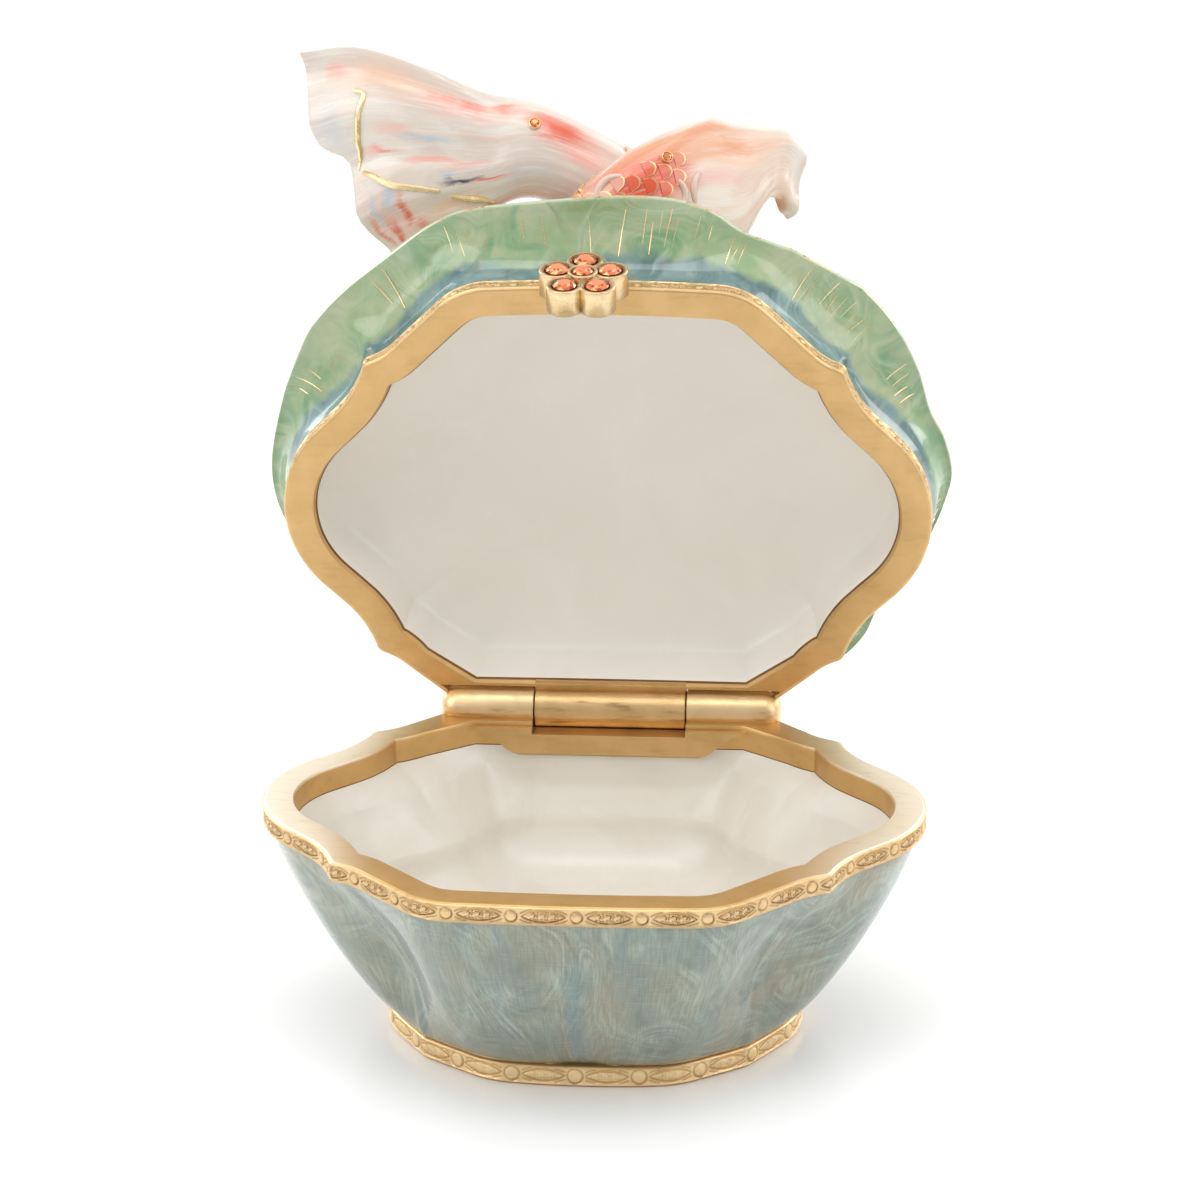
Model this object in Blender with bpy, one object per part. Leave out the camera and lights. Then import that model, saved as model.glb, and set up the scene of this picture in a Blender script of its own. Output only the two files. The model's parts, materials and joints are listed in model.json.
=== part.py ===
"""Enamelled trinket box with a hinged lily-pad lid, two koi and a jewelled flower catch.

The box stands open on its foot.  Sizes are in millimetres and become metres when a mesh
is made.  The origin is the middle of the foot's flat underside, +Z is up and the front
faces -Y.  The lid is drawn closed, above the plane where the two rims meet, and then
swings back with the empty that lies on the hinge axis.
"""
import math

import bmesh
import bpy
import numpy as np
from mathutils import Vector

MM = 0.001
GAP = 0.3

# Plan outline shared by the bowl's rim and the lid's rim, one quarter of it.
HALF_WIDTH = 35.0
SIDE_LOBE_R = 13.5
SIDE_HOLLOW_R = 13.4
SIDE_HOLLOW_X = 38.5
EAR_X = 25.7
EAR_Y = 17.6
EAR_ROUND = 0.7
FRONT_HOLLOW_R = 7.2
FRONT_HOLLOW_Y = 24.7
FRONT_SHOULDER_R = 7.9
FRONT_FLAT_X = 11.7
FRONT_FLAT_Y = 27.0
FRONT_BULGE = 0.3

# Bowl
BOWL_HEIGHT = 25.0
RIM_WIDTH = 3.1
RIM_BAND = 2.15
RIM_EDGE = 0.25
RIM_STEP = 0.2
LIP_STEP = 0.15
LIP_DEPTH = 2.7
LIP_SLOPE = 2.0
WALL = 4.0
FLOOR = 8.5
FLOOR_ROUND = 2.0
FOOT_STEP = 0.1
SIDE_TOP = 0.98
SIDE_FOOT = 0.63
SIDE_BELLY = 1.2
SIDE_TURN = 0.8
RIDGE_DRAW = 3.9
RIDGE_SPREAD = math.radians(10.0)
SIDE_LEVELS = 6
INSIDE_LEVELS = 4
FOOT_BAND = 2.4
FOOT_HALF_WIDTH = 22.1
FOOT_HALF_DEPTH = 17.7
FOOT_SQUARENESS = 2.35
FOOT_ROUNDING = 0.6
FOOT_ROUNDING_START = 1.3
VALLEY_DEPTH = 0.6
VALLEY_HALF_WIDTH = 4.0
BACK_WALL_Y = 21.3

# Hinge
HINGE_Y = 24.7
HINGE_Z = 0.3
KNUCKLE_R = 2.4
KNUCKLE_END = 17.6
KNUCKLE_SPLIT = 8.4
KNUCKLE_GAP = 0.15
TROUGH_HALF = 8.54
NOTCH_FLOOR = 1.2
BOSS_HALF_WIDTH = 14.0
BOSS_WAIST_HALF_WIDTH = 12.2
BOSS_FOOT_HALF_WIDTH = 10.0
BOSS_Y = 20.5
BOSS_BOTTOM = 4.6
BOSS_SLOPE = 1.0
BOSS_SINK = 0.6
NOTCH_REACH = 6.0
PIN_R = 0.6
PIN_BORE_R = 0.75
BORE_REACH = 2.0
OPEN_ANGLE = math.radians(80.0)

# Lid
LID_BAND_TOP = 2.2
LID_SHOULDER_Y = 24.2
LID_BACK_Y = 21.95
LID_NOTCH_END = 17.95
LID_NOTCH_TOP = 5.2
LID_BACK_WALL = 1.0
LID_LIP_DRAW = 0.35
LID_LIP_HEIGHT = 0.7
LUG_SINK = 0.6
LUG_EASE = 0.05
WATER_TOP = 5.0
WATER_FLARE = 0.5
WATER_DRAW = 0.4
NECK_SHOULDER = 0.3
NECK_DRAW = 1.0
PAD_EDGE_Z = 7.9
PAD_EDGE = 0.9
PAD_EDGE_TOP_DRAW = 0.15
PAD_EDGE_UNDER_DRAW = 0.3
# Wavy margin of the lily pad, going round from the right side past the back and the front
PAD_MARGIN = (
    (37.2, -1.6), (36.4, 2.2), (35.3, 5.4), (33.8, 9.0), (31.6, 12.3), (29.6, 15.6),
    (28.4, 20.0), (25.6, 23.4), (20.0, 25.2), (8.0, 25.6), (-8.0, 25.6), (-20.0, 25.2),
    (-25.8, 23.4), (-28.0, 19.8), (-30.4, 16.8), (-32.8, 14.0), (-34.8, 10.8), (-36.6, 6.6),
    (-37.4, 2.0), (-37.4, -2.6), (-36.0, -8.8), (-34.5, -13.2), (-31.8, -18.8),
    (-27.4, -23.6), (-22.3, -27.6), (-19.6, -30.0), (-15.4, -32.2), (-9.9, -33.1),
    (-3.5, -33.8), (2.9, -34.2), (8.2, -33.7), (11.7, -32.3), (14.6, -30.2), (18.6, -28.6),
    (22.6, -27.2), (26.3, -24.8), (30.6, -19.8), (33.4, -14.0), (34.7, -9.2), (36.3, -5.8),
)
PAD_SHARES = (0.3, 0.55, 0.75, 0.88, 0.95)
DOME_TOP = 11.7
DOME_DIP = 0.8
DOME_DIP_AT = 0.9
DOME_FULLNESS = 0.9
LID_CEILING = 9.9
CEILING_RINGS = ((0.99, 0.5), (0.93, 0.7), (0.67, 0.88), (0.35, 0.98))
FLARE_RISE = 0.8

# Koi: back line point, belly line point and half thickness, from nose to tail edge
WHITE_STATIONS = (
    ((0.5, 17.3, 17.5), (0.5, 17.3, 13.8), 1.8),
    ((6.0, 13.8, 20.0), (6.0, 12.6, 12.4), 3.4),
    ((10.8, 7.0, 21.0), (9.8, 6.6, 11.4), 4.0),
    ((13.0, -1.5, 21.6), (11.6, -1.6, 11.6), 4.1),
    ((13.2, -10.5, 22.6), (11.0, -9.6, 12.6), 4.0),
    ((9.6, -20.5, 24.6), (6.4, -17.2, 15.6), 3.9),
    ((2.2, -30.7, 25.2), (-0.4, -24.6, 18.0), 3.7),
    ((-7.8, -37.0, 25.0), (-8.2, -28.8, 18.8), 3.6),
    ((-14.0, -38.8, 24.2), (-13.6, -27.6, 18.0), 2.2),
    ((-20.5, -41.7, 24.2), (-18.0, -25.6, 17.4), 1.2),
    ((-28.0, -43.7, 25.0), (-22.2, -23.0, 17.0), 0.9),
    ((-34.2, -42.6, 26.0), (-25.0, -20.0, 16.8), 0.7),
)
ORANGE_STATIONS = (
    ((-4.0, 18.5, 15.6), (-4.0, 18.5, 12.8), 1.6),
    ((-9.3, 15.2, 18.2), (-9.3, 14.4, 11.4), 3.3),
    ((-14.6, 8.6, 19.0), (-13.6, 8.2, 10.4), 3.8),
    ((-17.2, 0.0, 19.4), (-15.8, 0.0, 10.2), 3.9),
    ((-16.6, -9.0, 18.8), (-15.2, -8.4, 10.0), 3.8),
    ((-12.0, -19.0, 17.6), (-9.8, -16.0, 10.0), 3.6),
    ((-5.0, -29.5, 15.6), (-3.0, -22.0, 10.4), 3.6),
    ((2.0, -35.0, 18.0), (3.6, -26.0, 11.4), 2.8),
    ((9.5, -37.0, 22.0), (9.0, -25.0, 13.0), 1.5),
    ((14.5, -35.6, 24.4), (13.4, -25.0, 14.6), 1.0),
    ((19.0, -33.2, 26.0), (16.9, -28.6, 19.6), 0.9),
    ((21.2, -30.6, 25.8), (18.6, -25.6, 22.0), 0.7),
)
# How far the tail's edge stands out, against the share of the way from back to belly line
WHITE_TAIL_EDGE = ((0.0, 0.0), (0.36, 1.6), (0.5, -0.7), (0.75, 0.0), (0.9, -1.5), (1.0, -1.0))
ORANGE_TAIL_EDGE = ((0.0, 0.0), (0.5, 1.2), (1.0, 0.0))
TAIL_START = 0.66
WHITE_PLEATS = (2.5, 0.7)
ORANGE_PLEATS = (1.5, 0.4)
BODY_SIDES = 16
BODY_LEVELS = 26
BACK_FIN_FROM = 0.24
BACK_FIN_TO = 0.56
BACK_FIN_HEIGHT = 2.6
BACK_FIN_STEEP = 6.0
SIDE_FIN_AT = 0.2
SIDE_FIN_LENGTH = 7.0
SIDE_FIN_LEVELS = 4
SIDE_FIN_SIDES = 8
SIDE_FIN_SWEEP = 4.5
SIDE_FIN_DROP = 0.8
SIDE_FIN_ROOT = 2.2
SIDE_FIN_TIP = 3.6
SIDE_FIN_THICK = 0.7
SIDE_FIN_THINNING = 0.4
SIDE_FIN_SINK = 1.6
SIDE_FIN_LOW = 0.65

# Flower catch
FLOWER_X = -1.4
FLOWER_Z = -2.7
FLOWER_BACK = -27.6
FLOWER_FACE = -30.5
PETALS = 5
PETAL_RING_R = 3.3
PETAL_R = 1.75
CENTRE_RISE = 0.35
CENTRE_GROWTH = 0.1
CRYSTAL_R = 1.3
CRYSTAL_SEAT = 0.1
CRYSTAL_SINK = 0.8
CRYSTAL_FACETS = 8
SEAT_REACH = 1.0
# Crystal profile: share of the radius, distance in front of the setting's face, facet turn
CRYSTAL_PROFILE = ((0.8, -CRYSTAL_SINK, 0.0), (1.0, -0.15, 0.5), (0.78, 0.25, 0.0),
                   (0.45, 0.42, 0.5))

# Points on each stretch of a quarter outline
LOBE_STEPS = 3
HOLLOW_STEPS = 2
SHOULDER_STEPS = 2
FLAT_STEPS = 2


def clear_scene():
    for obj in list(bpy.data.objects):
        bpy.data.objects.remove(obj, do_unlink=True)


def material(name, colour, roughness, metallic):
    mat = bpy.data.materials.new(name)
    mat.use_nodes = True
    shader = mat.node_tree.nodes["Principled BSDF"]
    shader.inputs["Base Color"].default_value = (*colour, 1.0)
    shader.inputs["Roughness"].default_value = roughness
    shader.inputs["Metallic"].default_value = metallic
    return mat


def arc(cx, cy, radius, start, end, steps):
    angles = np.radians(np.linspace(start, end, steps + 1))
    return [(cx + radius * math.cos(a), cy + radius * math.sin(a)) for a in angles]


def quarter_outline():
    """Side lobe, hollow, ear, hollow, front shoulder and flat, from +X round to +Y."""
    flank = HALF_WIDTH - SIDE_LOBE_R + SIDE_LOBE_R * math.sqrt(2.0)
    side_y = flank - SIDE_HOLLOW_X + SIDE_HOLLOW_R * math.sqrt(2.0)
    side_end = 180.0 + math.degrees(math.asin((side_y - EAR_Y + EAR_ROUND) / SIDE_HOLLOW_R))
    shoulder_y = FRONT_FLAT_Y - FRONT_SHOULDER_R
    flank = FRONT_FLAT_X + shoulder_y + FRONT_SHOULDER_R * math.sqrt(2.0)
    front_x = flank - FRONT_HOLLOW_Y + FRONT_HOLLOW_R * math.sqrt(2.0)
    front_start = 270.0 - math.degrees(math.asin((front_x - EAR_X + EAR_ROUND) / FRONT_HOLLOW_R))
    points = arc(HALF_WIDTH - SIDE_LOBE_R, 0.0, SIDE_LOBE_R, 0, 45, LOBE_STEPS)
    points += arc(SIDE_HOLLOW_X, side_y, SIDE_HOLLOW_R, 225, side_end, HOLLOW_STEPS)
    points.append((EAR_X - EAR_ROUND * 0.3, EAR_Y - EAR_ROUND * 0.3))
    points += arc(front_x, FRONT_HOLLOW_Y, FRONT_HOLLOW_R, front_start, 225, HOLLOW_STEPS)
    points += arc(FRONT_FLAT_X, shoulder_y, FRONT_SHOULDER_R, 45, 90, SHOULDER_STEPS)
    for step in range(1, FLAT_STEPS + 1):
        x = FRONT_FLAT_X * (1.0 - step / FLAT_STEPS)
        points.append((x, FRONT_FLAT_Y + FRONT_BULGE * (1.0 - (x / FRONT_FLAT_X) ** 2)))
    return points


def full_outline():
    quarter = quarter_outline()
    ring = list(quarter[:-1])
    ring += [(-x, y) for x, y in reversed(quarter[1:])]
    ring += [(-x, -y) for x, y in quarter[:-1]]
    ring += [(x, -y) for x, y in reversed(quarter[1:])]
    return np.array(ring)


OUTLINE = full_outline()
ANGLES = np.arctan2(OUTLINE[:, 1], OUTLINE[:, 0])
RIM = np.hypot(OUTLINE[:, 0], OUTLINE[:, 1])
RAYS = np.stack([np.cos(ANGLES), np.sin(ANGLES)], axis=1)


def distance_to_ring(points, radii):
    """Shortest distance from each point to the closed ring with these radii."""
    corners = RAYS * radii[:, None]
    ends = np.roll(corners, -1, axis=0)
    edge = ends - corners
    offset = points[:, None, :] - corners[None, :, :]
    along = (offset * edge[None]).sum(axis=2) / (edge * edge).sum(axis=1)[None]
    foot = corners[None] + np.clip(along, 0.0, 1.0)[:, :, None] * edge[None]
    return np.linalg.norm(points[:, None, :] - foot, axis=2).min(axis=1)


def inset(radii, depth):
    """The ring a given distance inside another one, found by halving along each ray."""
    low = radii * 0.3
    high = radii.copy()
    for _ in range(30):
        middle = (low + high) / 2.0
        inside = distance_to_ring(RAYS * middle[:, None], radii) > depth
        low = np.where(inside, middle, low)
        high = np.where(inside, high, middle)
    return low


def cut_back(radii, y_limit):
    """The ring with everything behind a straight line across the back cut away."""
    sine = np.maximum(RAYS[:, 1], 1e-6)
    return np.where(RAYS[:, 1] > 0.0, np.minimum(radii, y_limit / sine), radii)


def superellipse(half_x, half_y, power):
    sums = np.abs(RAYS[:, 0] / half_x) ** power + np.abs(RAYS[:, 1] / half_y) ** power
    return sums ** (-1.0 / power)


def ring_at(radii, z):
    flat = RAYS * radii[:, None]
    heights = np.broadcast_to(np.asarray(z, dtype=float), radii.shape)
    return np.column_stack([flat, heights])


def to_metres(points, origin=(0.0, 0.0, 0.0)):
    return [Vector((np.asarray(p, dtype=float) - origin) * MM) for p in points]


def new_object(name, mesh_data, mat):
    mesh = bpy.data.meshes.new(name)
    mesh_data.normal_update()
    mesh_data.to_mesh(mesh)
    mesh_data.free()
    mesh.materials.append(mat)
    mesh.shade_smooth()
    mesh.set_sharp_from_angle(angle=math.radians(35.0))
    obj = bpy.data.objects.new(name, mesh)
    bpy.context.collection.objects.link(obj)
    return obj


def loft(name, rings, mat, first_centre, last_centre, origin=(0.0, 0.0, 0.0)):
    """Closed body through a stack of rings, closed by a fan at each end."""
    mesh = bmesh.new()
    rows = [[mesh.verts.new(p) for p in to_metres(ring, origin)] for ring in rings]
    count = len(rows[0])
    for lower, upper in zip(rows, rows[1:]):
        for i in range(count):
            j = (i + 1) % count
            mesh.faces.new((lower[i], lower[j], upper[j], upper[i]))
    start = mesh.verts.new(to_metres([first_centre], origin)[0])
    end = mesh.verts.new(to_metres([last_centre], origin)[0])
    for i in range(count):
        j = (i + 1) % count
        mesh.faces.new((start, rows[0][j], rows[0][i]))
        mesh.faces.new((end, rows[-1][i], rows[-1][j]))
    bmesh.ops.recalc_face_normals(mesh, faces=mesh.faces)
    return new_object(name, mesh, mat)


def cylinder_x(name, radius, x_from, x_to, y, z, mat, sides=24):
    """Round bar along X."""
    angles = np.linspace(0.0, 2.0 * math.pi, sides, endpoint=False)
    circle = [(y + radius * math.cos(a), z + radius * math.sin(a)) for a in angles]
    rings = [[(x, cy, cz) for cy, cz in circle] for x in (x_from, x_to)]
    return loft(name, rings, mat, (x_from, y, z), (x_to, y, z))


def block(name, low, high, mat):
    corners = [(low[0], low[1]), (high[0], low[1]), (high[0], high[1]), (low[0], high[1])]
    rings = [[(x, y, z) for x, y in corners] for z in (low[2], high[2])]
    centre = ((low[0] + high[0]) / 2.0, (low[1] + high[1]) / 2.0)
    return loft(name, rings, mat, (*centre, low[2]), (*centre, high[2]))


def boolean(target, tool, operation):
    """Live Boolean on the target; the tool is only a guide and is left out of the model."""
    tool.hide_render = True
    tool.display_type = "WIRE"
    modifier = target.modifiers.new(operation.title(), "BOOLEAN")
    modifier.operation = operation
    modifier.solver = "EXACT"
    modifier.object = tool


def foot_ring():
    """Outline of the foot: the rim's shape drawn in, with its hollows mostly filled."""
    oval = superellipse(FOOT_HALF_WIDTH, FOOT_HALF_DEPTH, FOOT_SQUARENESS)
    lobed = RIM * FOOT_HALF_WIDTH / HALF_WIDTH
    return oval * FOOT_ROUNDING + lobed * (1.0 - FOOT_ROUNDING)


def side_ring(depth):
    """Outer ring of the bowl's side, from 0 under the rim band to 1 at the foot."""
    turn = (1.0 - depth ** SIDE_BELLY) ** SIDE_TURN
    scale = SIDE_FOOT + (SIDE_TOP - SIDE_FOOT) * turn
    oval = superellipse(FOOT_HALF_WIDTH, FOOT_HALF_DEPTH, FOOT_SQUARENESS) / FOOT_HALF_WIDTH
    fill = FOOT_ROUNDING * depth ** FOOT_ROUNDING_START
    ring = (RIM * (1.0 - fill) + oval * HALF_WIDTH * fill) * scale
    across = ring * RAYS[:, 0] / VALLEY_HALF_WIDTH
    ring = ring - VALLEY_DEPTH * depth * np.exp(-across ** 2)
    ear = np.array((EAR_X, EAR_Y)) / math.hypot(EAR_X, EAR_Y)
    from_ear = np.arccos(np.clip(np.abs(RAYS) @ ear, -1.0, 1.0)) / RIDGE_SPREAD
    return ring - RIDGE_DRAW * math.sin(math.pi * depth) * np.exp(-from_ear ** 2)


def tapered_boss(name, mat):
    """Lug under the middle knuckle, narrower and shallower towards its lower edge."""
    rings = []
    for half, front, z in ((BOSS_FOOT_HALF_WIDTH, BOSS_Y + BOSS_SINK, -BOSS_BOTTOM),
                           (BOSS_WAIST_HALF_WIDTH, BOSS_Y, BOSS_SLOPE - BOSS_BOTTOM),
                           (BOSS_HALF_WIDTH, BOSS_Y, -BOSS_SINK)):
        z += BOWL_HEIGHT
        rings.append([(-half, front, z), (half, front, z), (half, HINGE_Y, z),
                      (-half, HINGE_Y, z)])
    middle_y = (BOSS_Y + HINGE_Y) / 2.0
    return loft(name, rings, mat, (0.0, middle_y, BOWL_HEIGHT - BOSS_BOTTOM),
                (0.0, middle_y, BOWL_HEIGHT - BOSS_SINK))


def build_bowl(mat):
    top = BOWL_HEIGHT
    side_top = top - RIM_BAND - RIM_STEP
    side_foot = FOOT_BAND + FOOT_STEP
    foot = foot_ring()
    rings = [ring_at(inset(foot, RIM_EDGE), 0.0), ring_at(foot, RIM_EDGE),
             ring_at(foot, FOOT_BAND - RIM_EDGE), ring_at(inset(foot, RIM_EDGE), FOOT_BAND)]
    depths = np.linspace(1.0, 0.0, SIDE_LEVELS + 1)
    for depth in depths:
        z = side_top + (side_foot - side_top) * depth
        rings.append(ring_at(side_ring(depth), z))
    rings += [ring_at(RIM, top - RIM_BAND), ring_at(RIM, top - RIM_EDGE),
              ring_at(inset(RIM, RIM_EDGE), top)]
    mouth = cut_back(inset(RIM, RIM_WIDTH), BACK_WALL_Y)
    lip = mouth - LIP_STEP
    rings += [ring_at(mouth, top), ring_at(lip, top - RIM_EDGE), ring_at(lip, top - LIP_DEPTH)]
    for z in np.linspace(top - LIP_DEPTH - LIP_SLOPE, FLOOR + FLOOR_ROUND, INSIDE_LEVELS):
        depth = (side_top - z) / (side_top - side_foot)
        wall = np.minimum(inset(side_ring(depth), WALL), lip)
        rings.append(ring_at(wall, z))
    rings += [ring_at(wall - 0.4 * FLOOR_ROUND, FLOOR + 0.3 * FLOOR_ROUND),
              ring_at(wall - FLOOR_ROUND, FLOOR)]
    bowl = loft("base_bowl", rings, mat, (0.0, 0.0, 0.0), (0.0, 0.0, FLOOR))
    axis_z = top + HINGE_Z
    boss = tapered_boss("boss_guide", mat)
    boolean(bowl, boss, "UNION")
    for side in (-1, 1):
        ends = sorted((side * (KNUCKLE_SPLIT + KNUCKLE_GAP), side * KNUCKLE_END))
        knuckle = cylinder_x("knuckle_guide", KNUCKLE_R, *ends, HINGE_Y, axis_z, mat)
        boolean(bowl, knuckle, "UNION")
    notch_half = KNUCKLE_SPLIT + KNUCKLE_GAP
    notch = block("notch_guide", (-notch_half, BOSS_Y - BOSS_SINK, top - NOTCH_FLOOR),
                  (notch_half, HINGE_Y + NOTCH_REACH, top + NOTCH_REACH), mat)
    boolean(bowl, notch, "DIFFERENCE")
    trough = cylinder_x("trough_guide", KNUCKLE_R + GAP, -TROUGH_HALF, TROUGH_HALF,
                        HINGE_Y, axis_z, mat)
    boolean(bowl, trough, "DIFFERENCE")
    bore = cylinder_x("bore_guide", PIN_BORE_R, -KNUCKLE_END - BORE_REACH,
                      KNUCKLE_END + BORE_REACH, HINGE_Y, axis_z, mat, sides=16)
    boolean(bowl, bore, "DIFFERENCE")
    return bowl


def pad_ring():
    """Distance of the lily pad's margin along each ray."""
    margin = np.array(PAD_MARGIN)
    angles = np.arctan2(margin[:, 1], margin[:, 0])
    order = np.argsort(angles)
    return np.interp(ANGLES, angles[order], np.hypot(*margin[order].T), period=2.0 * math.pi)


def pad_top(share):
    """Height of the lid's top at a share of the way from its middle to the pad's edge."""
    dip = PAD_EDGE_Z + PAD_EDGE - DOME_DIP
    swell = math.cos(0.5 * math.pi * min(share / DOME_DIP_AT, 1.0)) ** DOME_FULLNESS
    rim = max(0.0, share - DOME_DIP_AT) / (1.0 - DOME_DIP_AT)
    return dip + (DOME_TOP - dip) * swell + DOME_DIP * rim


def build_lid(mat, pivot):
    band = cut_back(RIM, LID_SHOULDER_Y)
    face = inset(band, RIM_EDGE)
    cavity = cut_back(inset(RIM, RIM_WIDTH), LID_BACK_Y - LID_BACK_WALL)
    pad = pad_ring()
    water = cut_back(RIM - WATER_DRAW, LID_SHOULDER_Y - WATER_DRAW)
    neck = cut_back(RIM + WATER_FLARE, LID_SHOULDER_Y + NECK_SHOULDER)
    neck = np.minimum(neck, pad - NECK_DRAW)
    edge_under = pad - PAD_EDGE_UNDER_DRAW
    rings = [ring_at(pad * share, pad_top(share)) for share in PAD_SHARES]
    rings += [ring_at(pad - PAD_EDGE_TOP_DRAW, PAD_EDGE_Z + PAD_EDGE),
              ring_at(pad, PAD_EDGE_Z + PAD_EDGE / 2), ring_at(edge_under, PAD_EDGE_Z)]
    rings += [ring_at((edge_under + neck) / 2, (PAD_EDGE_Z + WATER_TOP) / 2 + FLARE_RISE),
              ring_at(neck, WATER_TOP), ring_at(water, (WATER_TOP + LID_BAND_TOP) / 2),
              ring_at(water, LID_BAND_TOP + RIM_STEP)]
    rings += [ring_at(band, LID_BAND_TOP), ring_at(band, GAP + RIM_EDGE), ring_at(face, GAP),
              ring_at(cavity, GAP), ring_at(cavity - LID_LIP_DRAW, GAP + LID_LIP_HEIGHT)]
    for share, rise in CEILING_RINGS:
        rings.append(ring_at(cavity * share, GAP + LID_CEILING * rise))
    lid = loft("lid", rings, mat, (0.0, 0.0, DOME_TOP), (0.0, 0.0, GAP + LID_CEILING), pivot)
    notch = block("lid_notch_guide", (-LID_NOTCH_END, LID_BACK_Y - HINGE_Y, -NOTCH_REACH),
                  (LID_NOTCH_END, NOTCH_REACH, LID_NOTCH_TOP - HINGE_Z), mat)
    half = KNUCKLE_SPLIT - KNUCKLE_GAP
    knuckle = cylinder_x("lid_knuckle_guide", KNUCKLE_R, -half, half, 0.0, 0.0, mat)
    lug = block("lug_guide", (-half, LID_BACK_Y - LUG_SINK - HINGE_Y, GAP + LUG_EASE - HINGE_Z),
                (half, 0.0, KNUCKLE_R - LUG_EASE), mat)
    bore = cylinder_x("lid_bore_guide", PIN_BORE_R, -half - BORE_REACH, half + BORE_REACH,
                      0.0, 0.0, mat, sides=16)
    for tool, operation in ((notch, "DIFFERENCE"), (lug, "UNION"), (knuckle, "UNION"),
                            (bore, "DIFFERENCE")):
        boolean(lid, tool, operation)
    return lid, (notch, knuckle, lug, bore)


def lid_clearance(mat, pivot):
    """Block whose top follows the lid's top a gap above it, to trim what sits on the lid."""
    pad = pad_ring()
    rings = [ring_at(pad * share, pad_top(share) + GAP) for share in PAD_SHARES]
    rings += [ring_at(pad + GAP, PAD_EDGE_Z + PAD_EDGE + GAP), ring_at(pad + GAP, 0.0)]
    return loft("lid_clearance_guide", rings, mat, (0.0, 0.0, DOME_TOP + GAP), (0.0, 0.0, 0.0),
                pivot)


def smooth_path(points, count):
    """Evenly counted points along a Catmull-Rom curve through the given ones."""
    knots = np.array(points, dtype=float)
    padded = np.vstack([2 * knots[0] - knots[1], knots, 2 * knots[-1] - knots[-2]])
    path = []
    for t in np.linspace(0.0, len(knots) - 1.0, count):
        i = min(int(t), len(knots) - 2)
        u = t - i
        a, b, c, d = padded[i:i + 4]
        path.append(0.5 * (2 * b + (c - a) * u + (2 * a - 5 * b + 4 * c - d) * u * u
                           + (3 * b - a - 3 * c + d) * u ** 3))
    return np.array(path)


def strip_ring(back, belly, half_thick, ahead, sides=BODY_SIDES):
    """Oval ring standing on the line from back to belly, across the way ahead."""
    half = (back - belly) / 2.0
    normal = np.cross(ahead, half)
    normal = normal / np.linalg.norm(normal)
    turn = 2.0 * math.pi * np.arange(sides) / sides
    middle = (back + belly) / 2.0
    ring = middle + half * np.cos(turn)[:, None] + normal * half_thick * np.sin(turn)[:, None]
    return ring, normal, (1.0 - np.cos(turn)) / 2.0


def closed_strip(name, rings, mat, origin):
    """Closed body through oval rings whose two ends are closed straight across."""
    mesh = bmesh.new()
    rows = [[mesh.verts.new(p) for p in to_metres(ring, origin)] for ring in rings]
    count = len(rows[0])
    for lower, upper in zip(rows, rows[1:]):
        for i in range(count):
            j = (i + 1) % count
            mesh.faces.new((lower[i], lower[j], upper[j], upper[i]))
    for row in (rows[0], rows[-1]):
        mesh.faces.new((row[0], row[1], row[-1]))
        mesh.faces.new((row[count // 2 - 1], row[count // 2], row[count // 2 + 1]))
        for k in range(1, count // 2 - 1):
            mesh.faces.new((row[k], row[k + 1], row[-k - 1], row[-k]))
    bmesh.ops.recalc_face_normals(mesh, faces=mesh.faces)
    return new_object(name, mesh, mat)


def koi_path(stations):
    """Back line, belly line, half thickness and way ahead at each level of a koi."""
    knots = [(*back, *belly, half) for back, belly, half in stations]
    path = smooth_path(knots, BODY_LEVELS)
    ahead = np.gradient((path[:, 0:3] + path[:, 3:6]) / 2.0, axis=0)
    return path, ahead / np.linalg.norm(ahead, axis=1, keepdims=True)


def koi_body(name, stations, tail_edge, pleats, mat, pivot):
    path, ahead = koi_path(stations)
    edge_at, edge_out = zip(*tail_edge)
    rings = []
    for i, row in enumerate(path):
        share = i / (BODY_LEVELS - 1)
        ring, normal, down = strip_ring(row[0:3], row[3:6], row[6], ahead[i])
        tail = max(0.0, (share - TAIL_START) / (1.0 - TAIL_START))
        pleat = pleats[1] * tail * np.sin(2.0 * math.pi * pleats[0] * down)
        out = np.interp(down, edge_at, edge_out) * tail ** 2
        ring = ring + normal * pleat[:, None] + ahead[i] * out[:, None]
        if BACK_FIN_FROM < share < BACK_FIN_TO:
            along = (share - BACK_FIN_FROM) / (BACK_FIN_TO - BACK_FIN_FROM)
            upward = row[0:3] - row[3:6]
            rise = BACK_FIN_HEIGHT * math.sqrt(1.0 - along) * min(1.0, along * BACK_FIN_STEEP)
            ring[0] += upward / np.linalg.norm(upward) * rise
        rings.append(ring)
    return closed_strip(name, rings, mat, pivot)


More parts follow.
